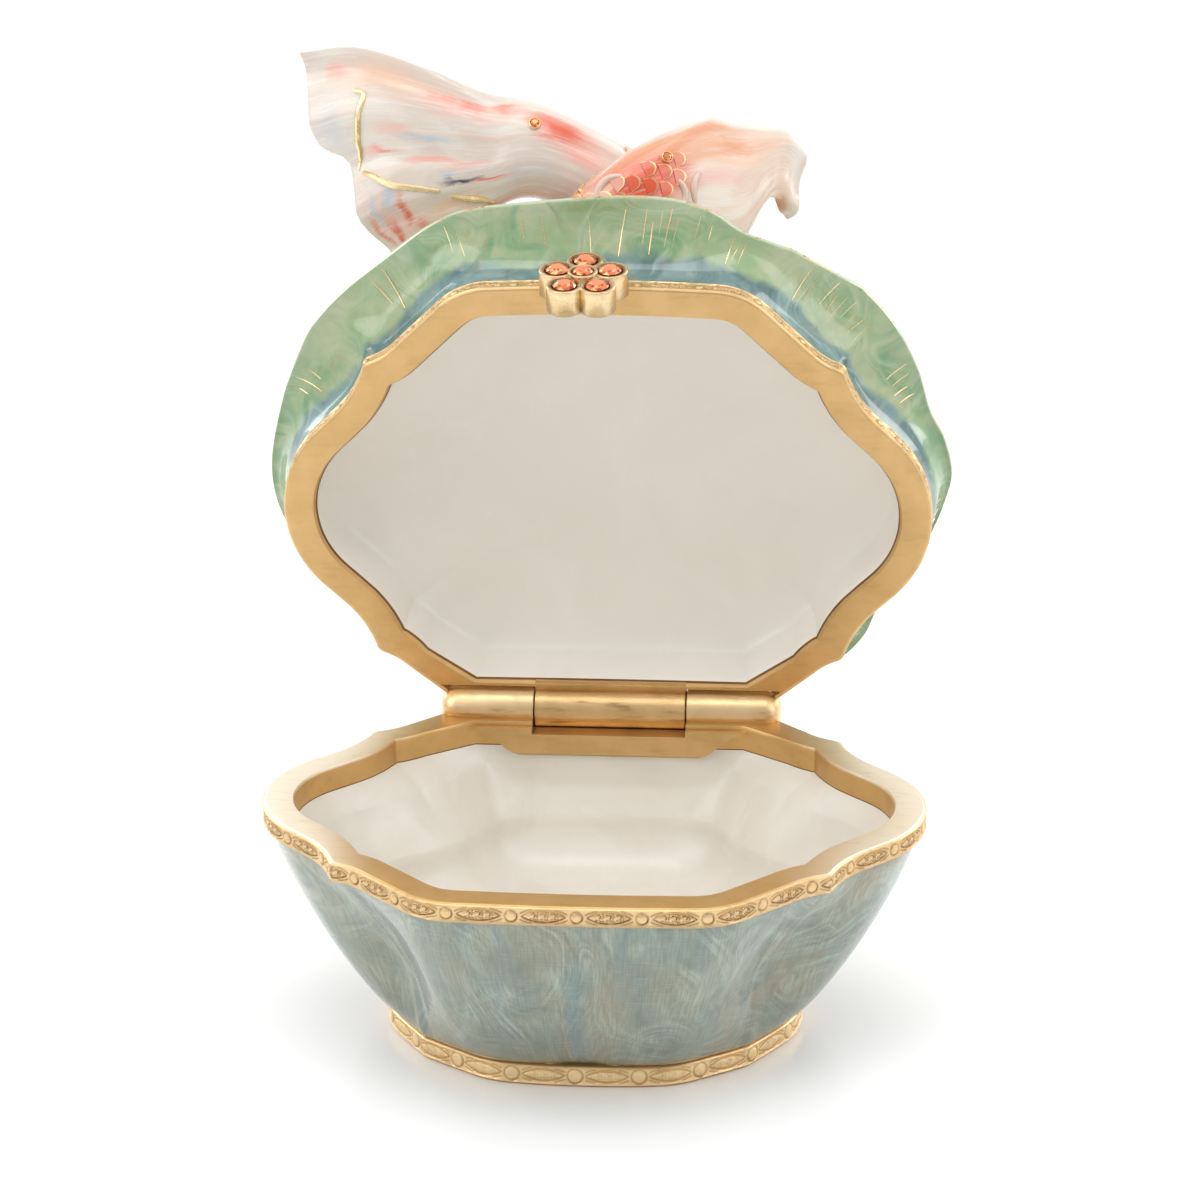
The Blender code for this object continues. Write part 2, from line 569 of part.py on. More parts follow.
def side_fin(name, stations, side, mat, pivot):
    """Swept blade standing out of one flank, just behind the head."""
    path, ahead = koi_path(stations)
    at = round(SIDE_FIN_AT * (BODY_LEVELS - 1))
    row, way = path[at], ahead[at]
    outward = np.cross(way, row[0:3] - row[3:6])
    outward = side * outward / np.linalg.norm(outward)
    root = row[0:3] * (1.0 - SIDE_FIN_LOW) + row[3:6] * SIDE_FIN_LOW
    root = root + outward * (row[6] - SIDE_FIN_SINK)
    rings = []
    for share in np.linspace(0.0, 1.0, SIDE_FIN_LEVELS):
        middle = root + outward * (SIDE_FIN_LENGTH + SIDE_FIN_SINK) * share
        middle = middle + way * SIDE_FIN_SWEEP * share + np.array((0, 0, -SIDE_FIN_DROP * share))
        half = way * (SIDE_FIN_ROOT + (SIDE_FIN_TIP - SIDE_FIN_ROOT) * share)
        thick = SIDE_FIN_THICK * (1.0 - SIDE_FIN_THINNING * share)
        rings.append(strip_ring(middle - half, middle + half, thick, outward, SIDE_FIN_SIDES)[0])
    return closed_strip(name, rings, mat, pivot)


def build_koi(name, stations, tail_edge, pleats, mat, pivot, clearance):
    body = koi_body(name, stations, tail_edge, pleats, mat, pivot)
    fins = [side_fin(name + "_fin_guide", stations, side, mat, pivot) for side in (-1, 1)]
    for tool in fins:
        boolean(body, tool, "UNION")
    boolean(body, clearance, "DIFFERENCE")
    return body, fins


def disc_y(name, x, z, radius, y_from, y_to, mat, pivot, sides=14):
    """Round bar along Y, drawn with the lid closed."""
    angles = np.linspace(0.0, 2.0 * math.pi, sides, endpoint=False)
    rings = [[(x + radius * math.cos(a), y, z + radius * math.sin(a)) for a in angles]
             for y in (y_from, y_to)]
    return loft(name, rings, mat, (x, y_from, z), (x, y_to, z), pivot)


def flower_places():
    """Centre and front face of each setting: the middle one first, then the petals."""
    places = [(FLOWER_X, FLOWER_Z, FLOWER_FACE - CENTRE_RISE)]
    for k in range(PETALS):
        a = math.pi / 2.0 + 2.0 * math.pi * k / PETALS
        places.append((FLOWER_X + PETAL_RING_R * math.cos(a), FLOWER_Z + PETAL_RING_R * math.sin(a),
                       FLOWER_FACE))
    return places


def build_flower(gold, gem, pivot):
    places = flower_places()
    x, z, face = places[0]
    flower = disc_y("thumb_flower", x, z, PETAL_R + CENTRE_GROWTH, FLOWER_BACK, face, gold,
                    pivot)
    tools = []
    for x, z, face in places[1:]:
        tools.append(disc_y("petal_guide", x, z, PETAL_R, FLOWER_BACK, face, gold, pivot))
        boolean(flower, tools[-1], "UNION")
    for x, z, face in places:
        tools.append(disc_y("seat_guide", x, z, CRYSTAL_R + CRYSTAL_SEAT,
                            face + CRYSTAL_SINK + CRYSTAL_SEAT, face - SEAT_REACH, gold, pivot,
                            sides=12))
        boolean(flower, tools[-1], "DIFFERENCE")
    crystals = [build_crystal(f"crystal_{k + 1}", place, gem, pivot)
                for k, place in enumerate(places)]
    return flower, crystals, tools


def build_crystal(name, place, mat, pivot):
    """Round stone with a flat table, eight crown facets and a short stem in its seat."""
    x, z, face = place
    rings = []
    for share, ahead, turn in CRYSTAL_PROFILE:
        angles = 2.0 * math.pi * (np.arange(CRYSTAL_FACETS) + turn) / CRYSTAL_FACETS
        radius = CRYSTAL_R * share
        rings.append([(x + radius * math.cos(a), face - ahead, z + radius * math.sin(a))
                      for a in angles])
    gem = loft(name, rings, mat, (x, face + CRYSTAL_SINK, z), (x, rings[-1][0][1], z), pivot)
    gem.data.shade_flat()
    return gem


def main():
    clear_scene()
    base_enamel = material("base_enamel", (0.26, 0.36, 0.33), 0.25, 0.1)
    lid_enamel = material("lid_enamel", (0.22, 0.42, 0.25), 0.25, 0.1)
    gold = material("gold_plate", (0.68, 0.42, 0.16), 0.35, 1.0)
    white = material("koi_white_enamel", (0.80, 0.72, 0.65), 0.2, 0.0)
    orange = material("koi_orange_enamel", (0.80, 0.33, 0.15), 0.2, 0.0)
    gem = material("orange_crystal", (0.85, 0.15, 0.06), 0.05, 0.0)

    build_bowl(base_enamel)
    cylinder_x("hinge_pin", PIN_R, -KNUCKLE_END, KNUCKLE_END, HINGE_Y, BOWL_HEIGHT + HINGE_Z,
               gold, sides=12)

    hinge = bpy.data.objects.new("hinge_axis", None)
    bpy.context.collection.objects.link(hinge)
    hinge.location = (0.0, HINGE_Y * MM, (BOWL_HEIGHT + HINGE_Z) * MM)
    hinge.rotation_euler = (-OPEN_ANGLE, 0.0, 0.0)
    pivot = np.array((0.0, HINGE_Y, HINGE_Z))

    lid, hinge_tools = build_lid(lid_enamel, pivot)
    clearance = lid_clearance(lid_enamel, pivot)
    koi_white, white_tools = build_koi("koi_white", WHITE_STATIONS, WHITE_TAIL_EDGE,
                                       WHITE_PLEATS, white, pivot, clearance)
    koi_orange, orange_tools = build_koi("koi_orange", ORANGE_STATIONS, ORANGE_TAIL_EDGE,
                                         ORANGE_PLEATS, orange, pivot, clearance)
    flower, crystals, flower_tools = build_flower(gold, gem, pivot)
    moving = [lid, clearance, koi_white, koi_orange, flower, *crystals, *hinge_tools,
              *white_tools, *orange_tools, *flower_tools]
    for obj in moving:
        obj.parent = hinge


main()
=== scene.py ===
# %% [markdown]
# # A koi trinket box, standing open
#
# The real object is a palm-sized box cast in metal, plated with gold and filled with
# coloured glassy enamel.  A wavy lily pad makes the lid, two koi swim over it, and a flower
# of six cut stones on the front edge is the catch that a thumb lifts.
#
# The CAD model already fixes every size and the hinge.  This script dresses it: it draws the
# same forms again with many more points, adds the engraving, the wires and the stones that
# solids leave out, and gives each surface its own enamel, plating or glass.

# %% Load the frame
import json
import math

import bmesh
import bpy
import numpy as np
from mathutils import Matrix, Vector
from mathutils.kdtree import KDTree


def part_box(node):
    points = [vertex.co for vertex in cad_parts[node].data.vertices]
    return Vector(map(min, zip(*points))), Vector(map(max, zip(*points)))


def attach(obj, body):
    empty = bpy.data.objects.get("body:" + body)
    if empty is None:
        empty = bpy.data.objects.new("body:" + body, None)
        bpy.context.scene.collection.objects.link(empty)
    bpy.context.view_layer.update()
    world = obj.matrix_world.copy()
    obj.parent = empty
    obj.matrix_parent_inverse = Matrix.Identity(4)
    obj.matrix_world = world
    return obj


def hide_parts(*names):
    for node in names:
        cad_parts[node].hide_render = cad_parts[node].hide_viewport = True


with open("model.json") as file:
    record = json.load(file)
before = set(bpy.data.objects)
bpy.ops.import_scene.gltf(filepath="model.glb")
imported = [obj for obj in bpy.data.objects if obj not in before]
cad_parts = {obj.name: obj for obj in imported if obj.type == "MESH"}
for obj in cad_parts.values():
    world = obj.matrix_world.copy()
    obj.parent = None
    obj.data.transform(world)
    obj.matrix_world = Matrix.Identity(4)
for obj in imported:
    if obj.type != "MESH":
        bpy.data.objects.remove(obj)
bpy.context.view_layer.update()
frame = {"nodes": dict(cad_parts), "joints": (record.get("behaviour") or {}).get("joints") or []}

# %% [markdown]
# ## Units and the two ways of standing
#
# Sizes are millimetres, as a jeweller would give them, and turn into metres when a mesh is
# made.  Everything on the lid is easier to draw with the lid closed: the plane where the
# rims meet is then z = 0.  `swing_open` turns such points back about the hinge axis, which
# comes from the frame's own joint, so lid and joint can never disagree.

# %% Sizes shared by bowl and lid
MM = 0.001
hinge_joint = frame["joints"][0]
HINGE = np.array(hinge_joint["pos_m"]) / MM
OPEN_ANGLE = math.radians(hinge_joint["range_deg"][1])
RIM_HEIGHT = 25.0
HALF_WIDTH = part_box("base_bowl")[1].x / MM
GAP = 0.3


def turn_open(directions):
    """Directions drawn with the lid closed, turned as the open lid turns them."""
    d = np.asarray(directions, dtype=float)
    cosine, sine = math.cos(OPEN_ANGLE), math.sin(OPEN_ANGLE)
    y = d[..., 1] * cosine + d[..., 2] * sine
    z = d[..., 2] * cosine - d[..., 1] * sine
    return np.stack([d[..., 0], y, z], axis=-1)


def swing_open(points):
    """Closed-lid points, measured from the rim plane, moved to where the open lid has them."""
    return turn_open(np.asarray(points, dtype=float) + (0.0, 0.0, RIM_HEIGHT) - HINGE) + HINGE


print("hinge axis at", HINGE.round(2), "lid open by", round(math.degrees(OPEN_ANGLE)), "degrees")

# %% [markdown]
# ## The rim's outline
#
# Seen from above, bowl and lid share one outline: a round lobe at each side, a hollow, a
# small pointed ear, another hollow and a nearly straight front and back.  It could be traced
# by hand with a spline, but arcs that meet at 45 degrees give the crisp ears of the casting
# and need only a radius and a centre each.  Only a quarter is drawn and then mirrored.

# %% Outline of the rim
SIDE_LOBE_R = 13.5
SIDE_HOLLOW_R = 13.4
SIDE_HOLLOW_X = 38.5
EAR_X = 25.7
EAR_Y = 17.6
EAR_ROUND = 0.7
FRONT_HOLLOW_R = 7.2
FRONT_HOLLOW_Y = 24.7
FRONT_SHOULDER_R = 7.9
FRONT_FLAT_X = 11.7
FRONT_FLAT_Y = 27.0
FRONT_BULGE = 0.3


def arc(cx, cy, radius, start, end, steps):
    angles = np.radians(np.linspace(start, end, steps + 1))
    return [(cx + radius * math.cos(a), cy + radius * math.sin(a)) for a in angles]


def rounded_tip(start, tip, end, steps):
    """Points between start and end on a curve that is drawn towards the tip."""
    t = np.linspace(0.0, 1.0, steps + 2)[1:-1, None]
    start, tip, end = (np.array(p) for p in (start, tip, end))
    return [tuple(p) for p in (1 - t) ** 2 * start + 2 * t * (1 - t) * tip + t ** 2 * end]


def quarter_outline():
    flank = HALF_WIDTH - SIDE_LOBE_R + SIDE_LOBE_R * math.sqrt(2.0)
    side_y = flank - SIDE_HOLLOW_X + SIDE_HOLLOW_R * math.sqrt(2.0)
    side_end = 180.0 + math.degrees(math.asin((side_y - EAR_Y + EAR_ROUND) / SIDE_HOLLOW_R))
    shoulder_y = FRONT_FLAT_Y - FRONT_SHOULDER_R
    flank = FRONT_FLAT_X + shoulder_y + FRONT_SHOULDER_R * math.sqrt(2.0)
    front_x = flank - FRONT_HOLLOW_Y + FRONT_HOLLOW_R * math.sqrt(2.0)
    front_start = 270.0 - math.degrees(math.asin((front_x - EAR_X + EAR_ROUND) / FRONT_HOLLOW_R))
    points = arc(HALF_WIDTH - SIDE_LOBE_R, 0.0, SIDE_LOBE_R, 0, 45, 14)
    points += arc(SIDE_HOLLOW_X, side_y, SIDE_HOLLOW_R, 225, side_end, 10)
    front = arc(front_x, FRONT_HOLLOW_Y, FRONT_HOLLOW_R, front_start, 225, 8)
    points += rounded_tip(points[-1], (EAR_X, EAR_Y), front[0], 3) + front
    points += arc(FRONT_FLAT_X, shoulder_y, FRONT_SHOULDER_R, 45, 90, 8)
    for x in np.linspace(FRONT_FLAT_X, 0.0, 11)[1:]:
        points.append((x, FRONT_FLAT_Y + FRONT_BULGE * (1.0 - (x / FRONT_FLAT_X) ** 2)))
    return points


def full_outline():
    quarter = quarter_outline()
    ring = list(quarter[:-1])
    ring += [(-x, y) for x, y in reversed(quarter[1:])]
    ring += [(-x, -y) for x, y in quarter[:-1]]
    ring += [(x, -y) for x, y in reversed(quarter[1:])]
    return np.array(ring)


OUTLINE = full_outline()
ANGLES = np.arctan2(OUTLINE[:, 1], OUTLINE[:, 0])
RIM = np.hypot(OUTLINE[:, 0], OUTLINE[:, 1])
RAYS = np.stack([np.cos(ANGLES), np.sin(ANGLES)], axis=1)
print("outline points:", len(RIM), "width", round(np.ptp(OUTLINE[:, 0]), 1), "mm")

# %% [markdown]
# ## Rings and skins
#
# Every wall of the box is a stack of rings, one distance from the middle for each ray of the
# outline.  `inset` finds the ring a true wall thickness inside another one, which a plain
# scaling would get wrong in the hollows.  `skin` joins a stack into one closed mesh.  It
# gives each strip its own material, and stores for every point where it lies round and along
# the wall, so that brush marks can follow the surface instead of cutting straight through.

# %% Ring and mesh helpers


def distance_to_ring(points, radii):
    corners = RAYS * radii[:, None]
    edge = np.roll(corners, -1, axis=0) - corners
    offset = points[:, None, :] - corners[None, :, :]
    along = (offset * edge[None]).sum(axis=2) / (edge * edge).sum(axis=1)[None]
    foot = corners[None] + np.clip(along, 0.0, 1.0)[:, :, None] * edge[None]
    return np.linalg.norm(points[:, None, :] - foot, axis=2).min(axis=1)


def inset(radii, depth):
    """The ring a given distance inside another one, found by halving along each ray."""
    low, high = radii * 0.3, radii.copy()
    for _ in range(24):
        middle = (low + high) / 2.0
        inside = distance_to_ring(RAYS * middle[:, None], radii) > depth
        low, high = np.where(inside, middle, low), np.where(inside, high, middle)
    return low


def cut_back(radii, y_limit):
    """The ring with what lies behind a straight line across the back cut away."""
    sine = np.maximum(RAYS[:, 1], 1e-6)
    return np.where(RAYS[:, 1] > 0.0, np.minimum(radii, y_limit / sine), radii)


def superellipse(half_x, half_y, power):
    sums = np.abs(RAYS[:, 0] / half_x) ** power + np.abs(RAYS[:, 1] / half_y) ** power
    return sums ** (-1.0 / power)


def ring_at(radii, z):
    heights = np.full(len(radii), float(z))
    return np.column_stack([RAYS * radii[:, None], heights])


def edge_round(radii, z_side, z_flat, size, steps=4):
    """Rings that turn from an upright wall at z_side to a flat face at z_flat."""
    rings = []
    for turn in np.linspace(0.0, math.pi / 2.0, steps + 1):
        z = z_side + (z_flat - z_side) * math.sin(turn)
        rings.append(ring_at(inset(radii, size * (1.0 - math.cos(turn)) + 1e-4), z))
    return rings


def finished(name, mesh, materials, smooth_angle=40.0):
    """An object at the origin from a mesh whose points are already in place, in metres."""
    for material in materials:
        mesh.materials.append(material)
    mesh.shade_smooth()
    mesh.set_sharp_from_angle(angle=math.radians(smooth_angle))
    obj = bpy.data.objects.new(name, mesh)
    bpy.context.scene.collection.objects.link(obj)
    return obj


def store_vectors(mesh, name, values):
    layer = mesh.attributes.new(name, "FLOAT_VECTOR", "POINT")
    layer.data.foreach_set("vector", np.asarray(values, dtype=np.float32).ravel())


def closed_mesh(name, points, faces, zones):
    """Mesh in metres from millimetre points, its faces turned outwards."""
    mesh = bpy.data.meshes.new(name)
    mesh.from_pydata((np.asarray(points) * MM).tolist(), [], faces)
    mesh.polygons.foreach_set("material_index", zones)
    work = bmesh.new()
    work.from_mesh(mesh)
    bmesh.ops.recalc_face_normals(work, faces=work.faces)
    work.to_mesh(mesh)
    work.free()
    return mesh


def skin(name, rings, zones, first, last, place=None):
    """Closed mesh through rings; zones gives the material of each strip and both fans."""
    count = len(rings[0])
    points = np.vstack([*rings, [first], [last]])
    faces, slots = [], []
    for row, zone in enumerate(zones[1:-1]):
        a, b = row * count, (row + 1) * count
        for i in range(count):
            j = (i + 1) % count
            faces.append((a + i, a + j, b + j, b + i))
            slots.append(zone)
    top, start, end = (len(rings) - 1) * count, len(points) - 2, len(points) - 1
    for i in range(count):
        j = (i + 1) % count
        faces += [(start, j, i), (end, top + i, top + j)]
        slots += [zones[0], zones[-1]]
    path = np.array([ring[0] for ring in rings])
    length = np.concatenate([[0.0], np.cumsum(np.linalg.norm(np.diff(path, axis=0), axis=1))])
    around = np.tile(RAYS * HALF_WIDTH, (len(rings), 1))
    wrap = np.column_stack([around, np.repeat(length, count)])
    wrap = np.vstack([wrap, (0.0, 0.0, 0.0), (0.0, 0.0, length[-1])])
    mesh = closed_mesh(name, points if place is None else place(points), faces, slots)
    store_vectors(mesh, "wrap", wrap)
    store_vectors(mesh, "shut", points)
    return mesh


# %% [markdown]
# ## Node helpers
#
# Shader trees and Geometry Nodes trees are built the same way: add a node, set what is
# fixed, link what comes from another node.  One helper that takes both numbers and sockets
# keeps each recipe close to how it would be said aloud.

# %% Node helpers


def add(tree, kind, inputs=None, **settings):
    """New node; an input given as a socket is linked, anything else is set."""
    node = tree.nodes.new(kind)
    for key, value in settings.items():
        setattr(node, key, value)
    for key, value in (inputs or {}).items():
        if isinstance(value, bpy.types.NodeSocket):
            tree.links.new(value, node.inputs[key])
        else:
            node.inputs[key].default_value = value
    return node


def calc(tree, operation, a, b=0.0, c=0.0, clamp=False):
    node = add(tree, "ShaderNodeMath", {0: a, 1: b, 2: c}, operation=operation)
    node.use_clamp = clamp
    return node.outputs[0]


def vary(tree, place, scale, detail=2.0, roughness=0.5, stretch=None, distortion=0.0):
    """Noise from 0 to 1 that reads a place in millimetres."""
    if stretch:
        place = add(tree, "ShaderNodeVectorMath", {0: place, 1: stretch},
                    operation="MULTIPLY").outputs[0]
    return add(tree, "ShaderNodeTexNoise", {"Vector": place, "Scale": scale, "Detail": detail,
               "Roughness": roughness, "Distortion": distortion}).outputs["Fac"]


def ramp(tree, value, low, high, to_low=0.0, to_high=1.0):
    node = add(tree, "ShaderNodeMapRange", {"Value": value, "From Min": low, "From Max": high,
               "To Min": to_low, "To Max": to_high}, interpolation_type="SMOOTHSTEP")
    return node.outputs["Result"]


def blend(tree, share, a, b, kind="MIX"):
    """Mix of two colours, each a tuple or a socket."""
    node = add(tree, "ShaderNodeMix", {"Factor": share}, data_type="RGBA", blend_type=kind)
    for key, value in ((6, a), (7, b)):
        if isinstance(value, bpy.types.NodeSocket):
            tree.links.new(value, node.inputs[key])
        else:
            node.inputs[key].default_value = (*value, 1.0)
    return node.outputs[2]


def attribute(tree, name, output="Vector"):
    return add(tree, "ShaderNodeAttribute", attribute_name=name).outputs[output]


def object_place(tree):
    """Object coordinates in millimetres."""
    coordinates = add(tree, "ShaderNodeTexCoord").outputs["Object"]
    return add(tree, "ShaderNodeVectorMath", {0: coordinates, "Scale": 1.0 / MM},
               operation="SCALE").outputs[0]


def relief(tree, height, depth, under=None):
    """Bump whose height socket runs over one unit and stands for depth millimetres."""
    inputs = {"Height": height, "Distance": depth * MM, "Strength": 1.0}
    if under is not None:
        inputs["Normal"] = under
    return add(tree, "ShaderNodeBump", inputs).outputs["Normal"]


def new_material(name, **fixed):
    """Principled material whose fixed values are set straight on the shader."""
    material = bpy.data.materials.new(name)
    material.use_nodes = True
    tree = material.node_tree
    shader = tree.nodes["Principled BSDF"]
    for key, value in fixed.items():
        shader.inputs[key.replace("_", " ")].default_value = value
    return material, tree, shader


def paint(tree, shader, **sockets):
    for key, value in sockets.items():
        tree.links.new(value, shader.inputs[key.replace("_", " ")])


# %% [markdown]
# ## Gold plating
#
# Plating over a casting is satin, not mirror-like: tiny grains scatter the light, and brown
# polish stays behind in streaks and in the grooves.  The top of the bowl's rim is painted pale
# far out at both sides, a painted highlight where the side lobes catch the light.  The engraved
# bands, the foot's band and the outer knuckles get lighter copies of the gold, painted light
# that stands in for the lamps falling on them.  The engraved bands carry a `groove` value on
# their points, which darkens the metal there.  A picture texture could do this too, but values
# on the mesh stay sharp however close one looks.

# %% Gold
POLISH_BROWN = (0.22, 0.10, 0.035)
GROOVE_BROWN = (0.19, 0.075, 0.02)


def gold_plating(name, light, deep, roughness, stain=0.12, painted_highlight=None):
    """Satin gold; stain is how much brown polish it keeps, and the last colour, if given, is a
    painted highlight on the top face far to the sides.
    """
    material, tree, shader = new_material(name, Metallic=1.0)
    place = object_place(tree)
    cloud = vary(tree, place, 0.35, 3.0)
    grain = vary(tree, place, 9.0, 2.0)
    brush = vary(tree, place, 1.6, 3.0, 0.6, stretch=(0.16, 1.0, 1.0))
    colour = blend(tree, ramp(tree, cloud, 0.3, 0.7, 0.2, 0.7), light, deep)
    if painted_highlight:
        # Painted highlight: the top face far out at both sides takes the pale colour given, where
        # the side lobes catch the light.
        x, _, up = add(tree, "ShaderNodeSeparateXYZ", {"Vector": place}).outputs
        across = calc(tree, "ABSOLUTE", x)
        where = calc(tree, "MULTIPLY", ramp(tree, across, 19.0, 30.0), ramp(tree, up, 24.6, 24.9))
        colour = blend(tree, where, colour, painted_highlight)
    stained = calc(tree, "MULTIPLY", ramp(tree, brush, 0.5, 0.72, 0.0, stain),
                   ramp(tree, cloud, 0.4, 0.55, 0.4, 1.0))
    colour = blend(tree, stained, colour, POLISH_BROWN)
    uneven = ramp(tree, vary(tree, place, 1.1, 3.0, 0.7), 0.36, 0.54, 0.6, 1.0)
    groove = calc(tree, "MULTIPLY", attribute(tree, "groove", "Fac"), uneven)
    colour = blend(tree, calc(tree, "MULTIPLY", groove, 0.95), colour, GROOVE_BROWN)
    rough = calc(tree, "ADD", ramp(tree, grain, 0.3, 0.7, roughness - 0.06, roughness + 0.06),
                 calc(tree, "MULTIPLY", groove, 0.3))
    paint(tree, shader, Base_Color=colour, Roughness=rough,
          Normal=relief(tree, grain, 0.012))
    return material


gold = gold_plating("gold_plate", (0.69, 0.46, 0.215), (0.57, 0.37, 0.155), 0.42)
# The rim's top far out at the sides gets a painted highlight in pale cream.
rim_gold = gold_plating("rim_gold", (0.70, 0.45, 0.19), (0.60, 0.37, 0.14), 0.42,
                        painted_highlight=(0.97, 0.86, 0.69))
worn_gold = gold_plating("hinge_gold", (0.76, 0.52, 0.26), (0.60, 0.38, 0.17), 0.36, stain=0.5)
# Painted highlight: the outer knuckles get a lighter copy of the gold, as if lit on top.
knuckle_gold_lit = gold_plating("knuckle_gold_lit", (0.86, 0.64, 0.37), (0.72, 0.49, 0.25), 0.36,
                            stain=0.35)
# Painted light: the engraved bands get a lighter copy of the gold for the front lamps on them, and
# the foot's band a lighter one still, as it gets less light.
engraved_gold_lit = gold_plating("engraved_gold_lit", (0.82, 0.61, 0.345), (0.70, 0.485, 0.24), 0.42,
                             stain=0.3)
foot_gold_lit = gold_plating("foot_gold_lit", (0.96, 0.74, 0.44), (0.85, 0.61, 0.32), 0.42, stain=0.3)
seam = gold_plating("seam_gold", (0.30, 0.15, 0.06), (0.20, 0.09, 0.035), 0.5)
pale_gold = gold_plating("bright_gold_wire", (0.95, 0.76, 0.46), (0.85, 0.62, 0.33), 0.28)

# %% [markdown]
# ## Pearl enamel inside
#
# The inside of bowl and lid is a warm white enamel with a shimmer that drifts in soft
# clouds.  A clear glossy coat over a slightly cloudy base gives the deep, wet look of fired
# enamel without any real volume.

# %% Pearl enamel


def pearl_enamel():
    material, tree, shader = new_material("pearl_enamel", Roughness=0.4, Coat_Weight=0.35,
                                          Coat_Roughness=0.05)
    place = object_place(tree)
    cloud = vary(tree, place, 0.09, 4.0, 0.55, distortion=0.6)
    wisps = vary(tree, place, 0.35, 3.0, 0.6, stretch=(1.0, 0.5, 0.5), distortion=1.2)
    colour = blend(tree, ramp(tree, cloud, 0.35, 0.65), (0.70, 0.66, 0.585), (0.75, 0.715, 0.645))
    colour = blend(tree, ramp(tree, wisps, 0.55, 0.75, 0.0, 0.35), colour, (0.80, 0.765, 0.70))
    # Painted light: the lid's inside is painted paler near the hinge, from 26 to 30 mm above the
    # table.
    up = add(tree, "ShaderNodeSeparateXYZ", {"Vector": place}).outputs["Z"]
    colour = blend(tree, ramp(tree, up, 26.0, 30.0, 0.0, 0.55), colour, (0.83, 0.79, 0.72))
    paint(tree, shader, Base_Color=colour, Normal=relief(tree, cloud, 0.10))
    return material


pearl = pearl_enamel()

# %% [markdown]
# ## Brushed enamels
#
# The outer enamels are laid on with sweeping strokes, so each patch of colour is made of
# fine marks that bend together.  A smooth noise gives a slowly changing field, and a second
# noise is read by the value of that field: its marks then run along the field's contours.
# A little of the place itself is mixed in, so that every mark begins and ends.

# %% Brush marks


def brush_marks(tree, place, swirl, bristle, length, softness=0.13):
    """Bristle marks from 0 to 1 that sweep along the contours of a smooth field."""
    field = vary(tree, place, 1.0 / swirl, 0.5, 0.4, distortion=0.5)
    across = add(tree, "ShaderNodeCombineXYZ",
                 {"X": calc(tree, "MULTIPLY", field, 2.2 * swirl / bristle)}).outputs[0]
    mark = add(tree, "ShaderNodeVectorMath", {0: place, 1: (1.0 / length,) * 3, 2: across},
               operation="MULTIPLY_ADD").outputs[0]
    bristles = add(tree, "ShaderNodeTexNoise", {"Vector": mark, "Scale": 1.0, "Detail": 2.0,
                   "Roughness": 0.55}).outputs["Fac"]
    patches = vary(tree, place, 0.11, 2.0, 0.5)
    marks = ramp(tree, bristles, 0.56 - softness, 0.56 + softness)
    return calc(tree, "MULTIPLY", marks, ramp(tree, patches, 0.36, 0.62))


def moved(tree, place, by):
    return add(tree, "ShaderNodeVectorMath", {0: place, 1: by}, operation="ADD").outputs[0]


def teal_enamel():
    material, tree, shader = new_material("teal_enamel", Roughness=0.25, Coat_Weight=0.5,
                                          Coat_Roughness=0.06)
    wrap = attribute(tree, "wrap")
    light = brush_marks(tree, wrap, 21.0, 1.5, 12.0, 0.19)
    fine = brush_marks(tree, moved(tree, wrap, (31.0, 5.0, 9.0)), 15.0, 0.7, 9.0, 0.17)
    dark = brush_marks(tree, moved(tree, wrap, (7.0, 55.0, 3.0)), 22.0, 2.0, 13.0, 0.19)
    hues = vary(tree, wrap, 0.075, 2.0, 0.6, distortion=0.3)
    patches = vary(tree, wrap, 0.10, 2.0, 0.5, stretch=(1.0, 1.0, 0.7))
    blues = vary(tree, moved(tree, wrap, (3.0, 8.0, 40.0)), 0.12, 2.0, 0.5, stretch=(1.5, 1.5, 0.5))
    colour = blend(tree, ramp(tree, hues, 0.38, 0.62), (0.275, 0.292, 0.222), (0.235, 0.298, 0.25))
    colour = blend(tree, ramp(tree, patches, 0.46, 0.72, 0.0, 0.85), colour, (0.325, 0.27, 0.185))
    colour = blend(tree, ramp(tree, blues, 0.55, 0.72, 0.0, 0.6), colour, (0.15, 0.25, 0.30))
    colour = blend(tree, calc(tree, "MULTIPLY", dark, 0.9), colour, (0.135, 0.18, 0.155))
    colour = blend(tree, calc(tree, "MULTIPLY", light, 0.75), colour, (0.40, 0.49, 0.40))
    colour = blend(tree, calc(tree, "MULTIPLY", fine, 0.65), colour, (0.47, 0.52, 0.42))
    x, y, up = add(tree, "ShaderNodeSeparateXYZ", {"Vector": object_place(tree)}).outputs
    # Painted shade: the enamel is painted darker towards the foot, under the belly, from 11 mm down
    # to 3 mm.
    colour = blend(tree, ramp(tree, up, 3.0, 11.0, 0.45, 0.0), colour, (0.16, 0.165, 0.13))
    off = calc(tree, "ADD", calc(tree, "MULTIPLY_ADD", blues, 5.0, x), -2.6)
    pool = calc(tree, "MULTIPLY", ramp(tree, calc(tree, "ABSOLUTE", off), 0.2, 1.5, 0.55, 0.0),
                ramp(tree, y, -2.0, 0.0, 1.0, 0.0))
    pool = calc(tree, "MULTIPLY", pool, ramp(tree, up, 15.0, 20.0, 1.0, 0.0))
    colour = blend(tree, pool, colour, (0.14, 0.25, 0.27))
    threads = vary(tree, wrap, 4.2, 2.0, 0.6, stretch=(1.0, 1.0, 0.09))
    weft = vary(tree, wrap, 4.2, 1.0, 0.5, stretch=(0.09, 0.09, 1.0))
    colour = blend(tree, ramp(tree, threads, 0.38, 0.58, 0.34, 0.0), colour, (0.14, 0.145, 0.11))
    colour = blend(tree, ramp(tree, weft, 0.52, 0.7, 0.0, 0.14), colour, (0.46, 0.47, 0.38))
    paint(tree, shader, Base_Color=colour, Normal=relief(tree, light, 0.02))
    return material


teal = teal_enamel()


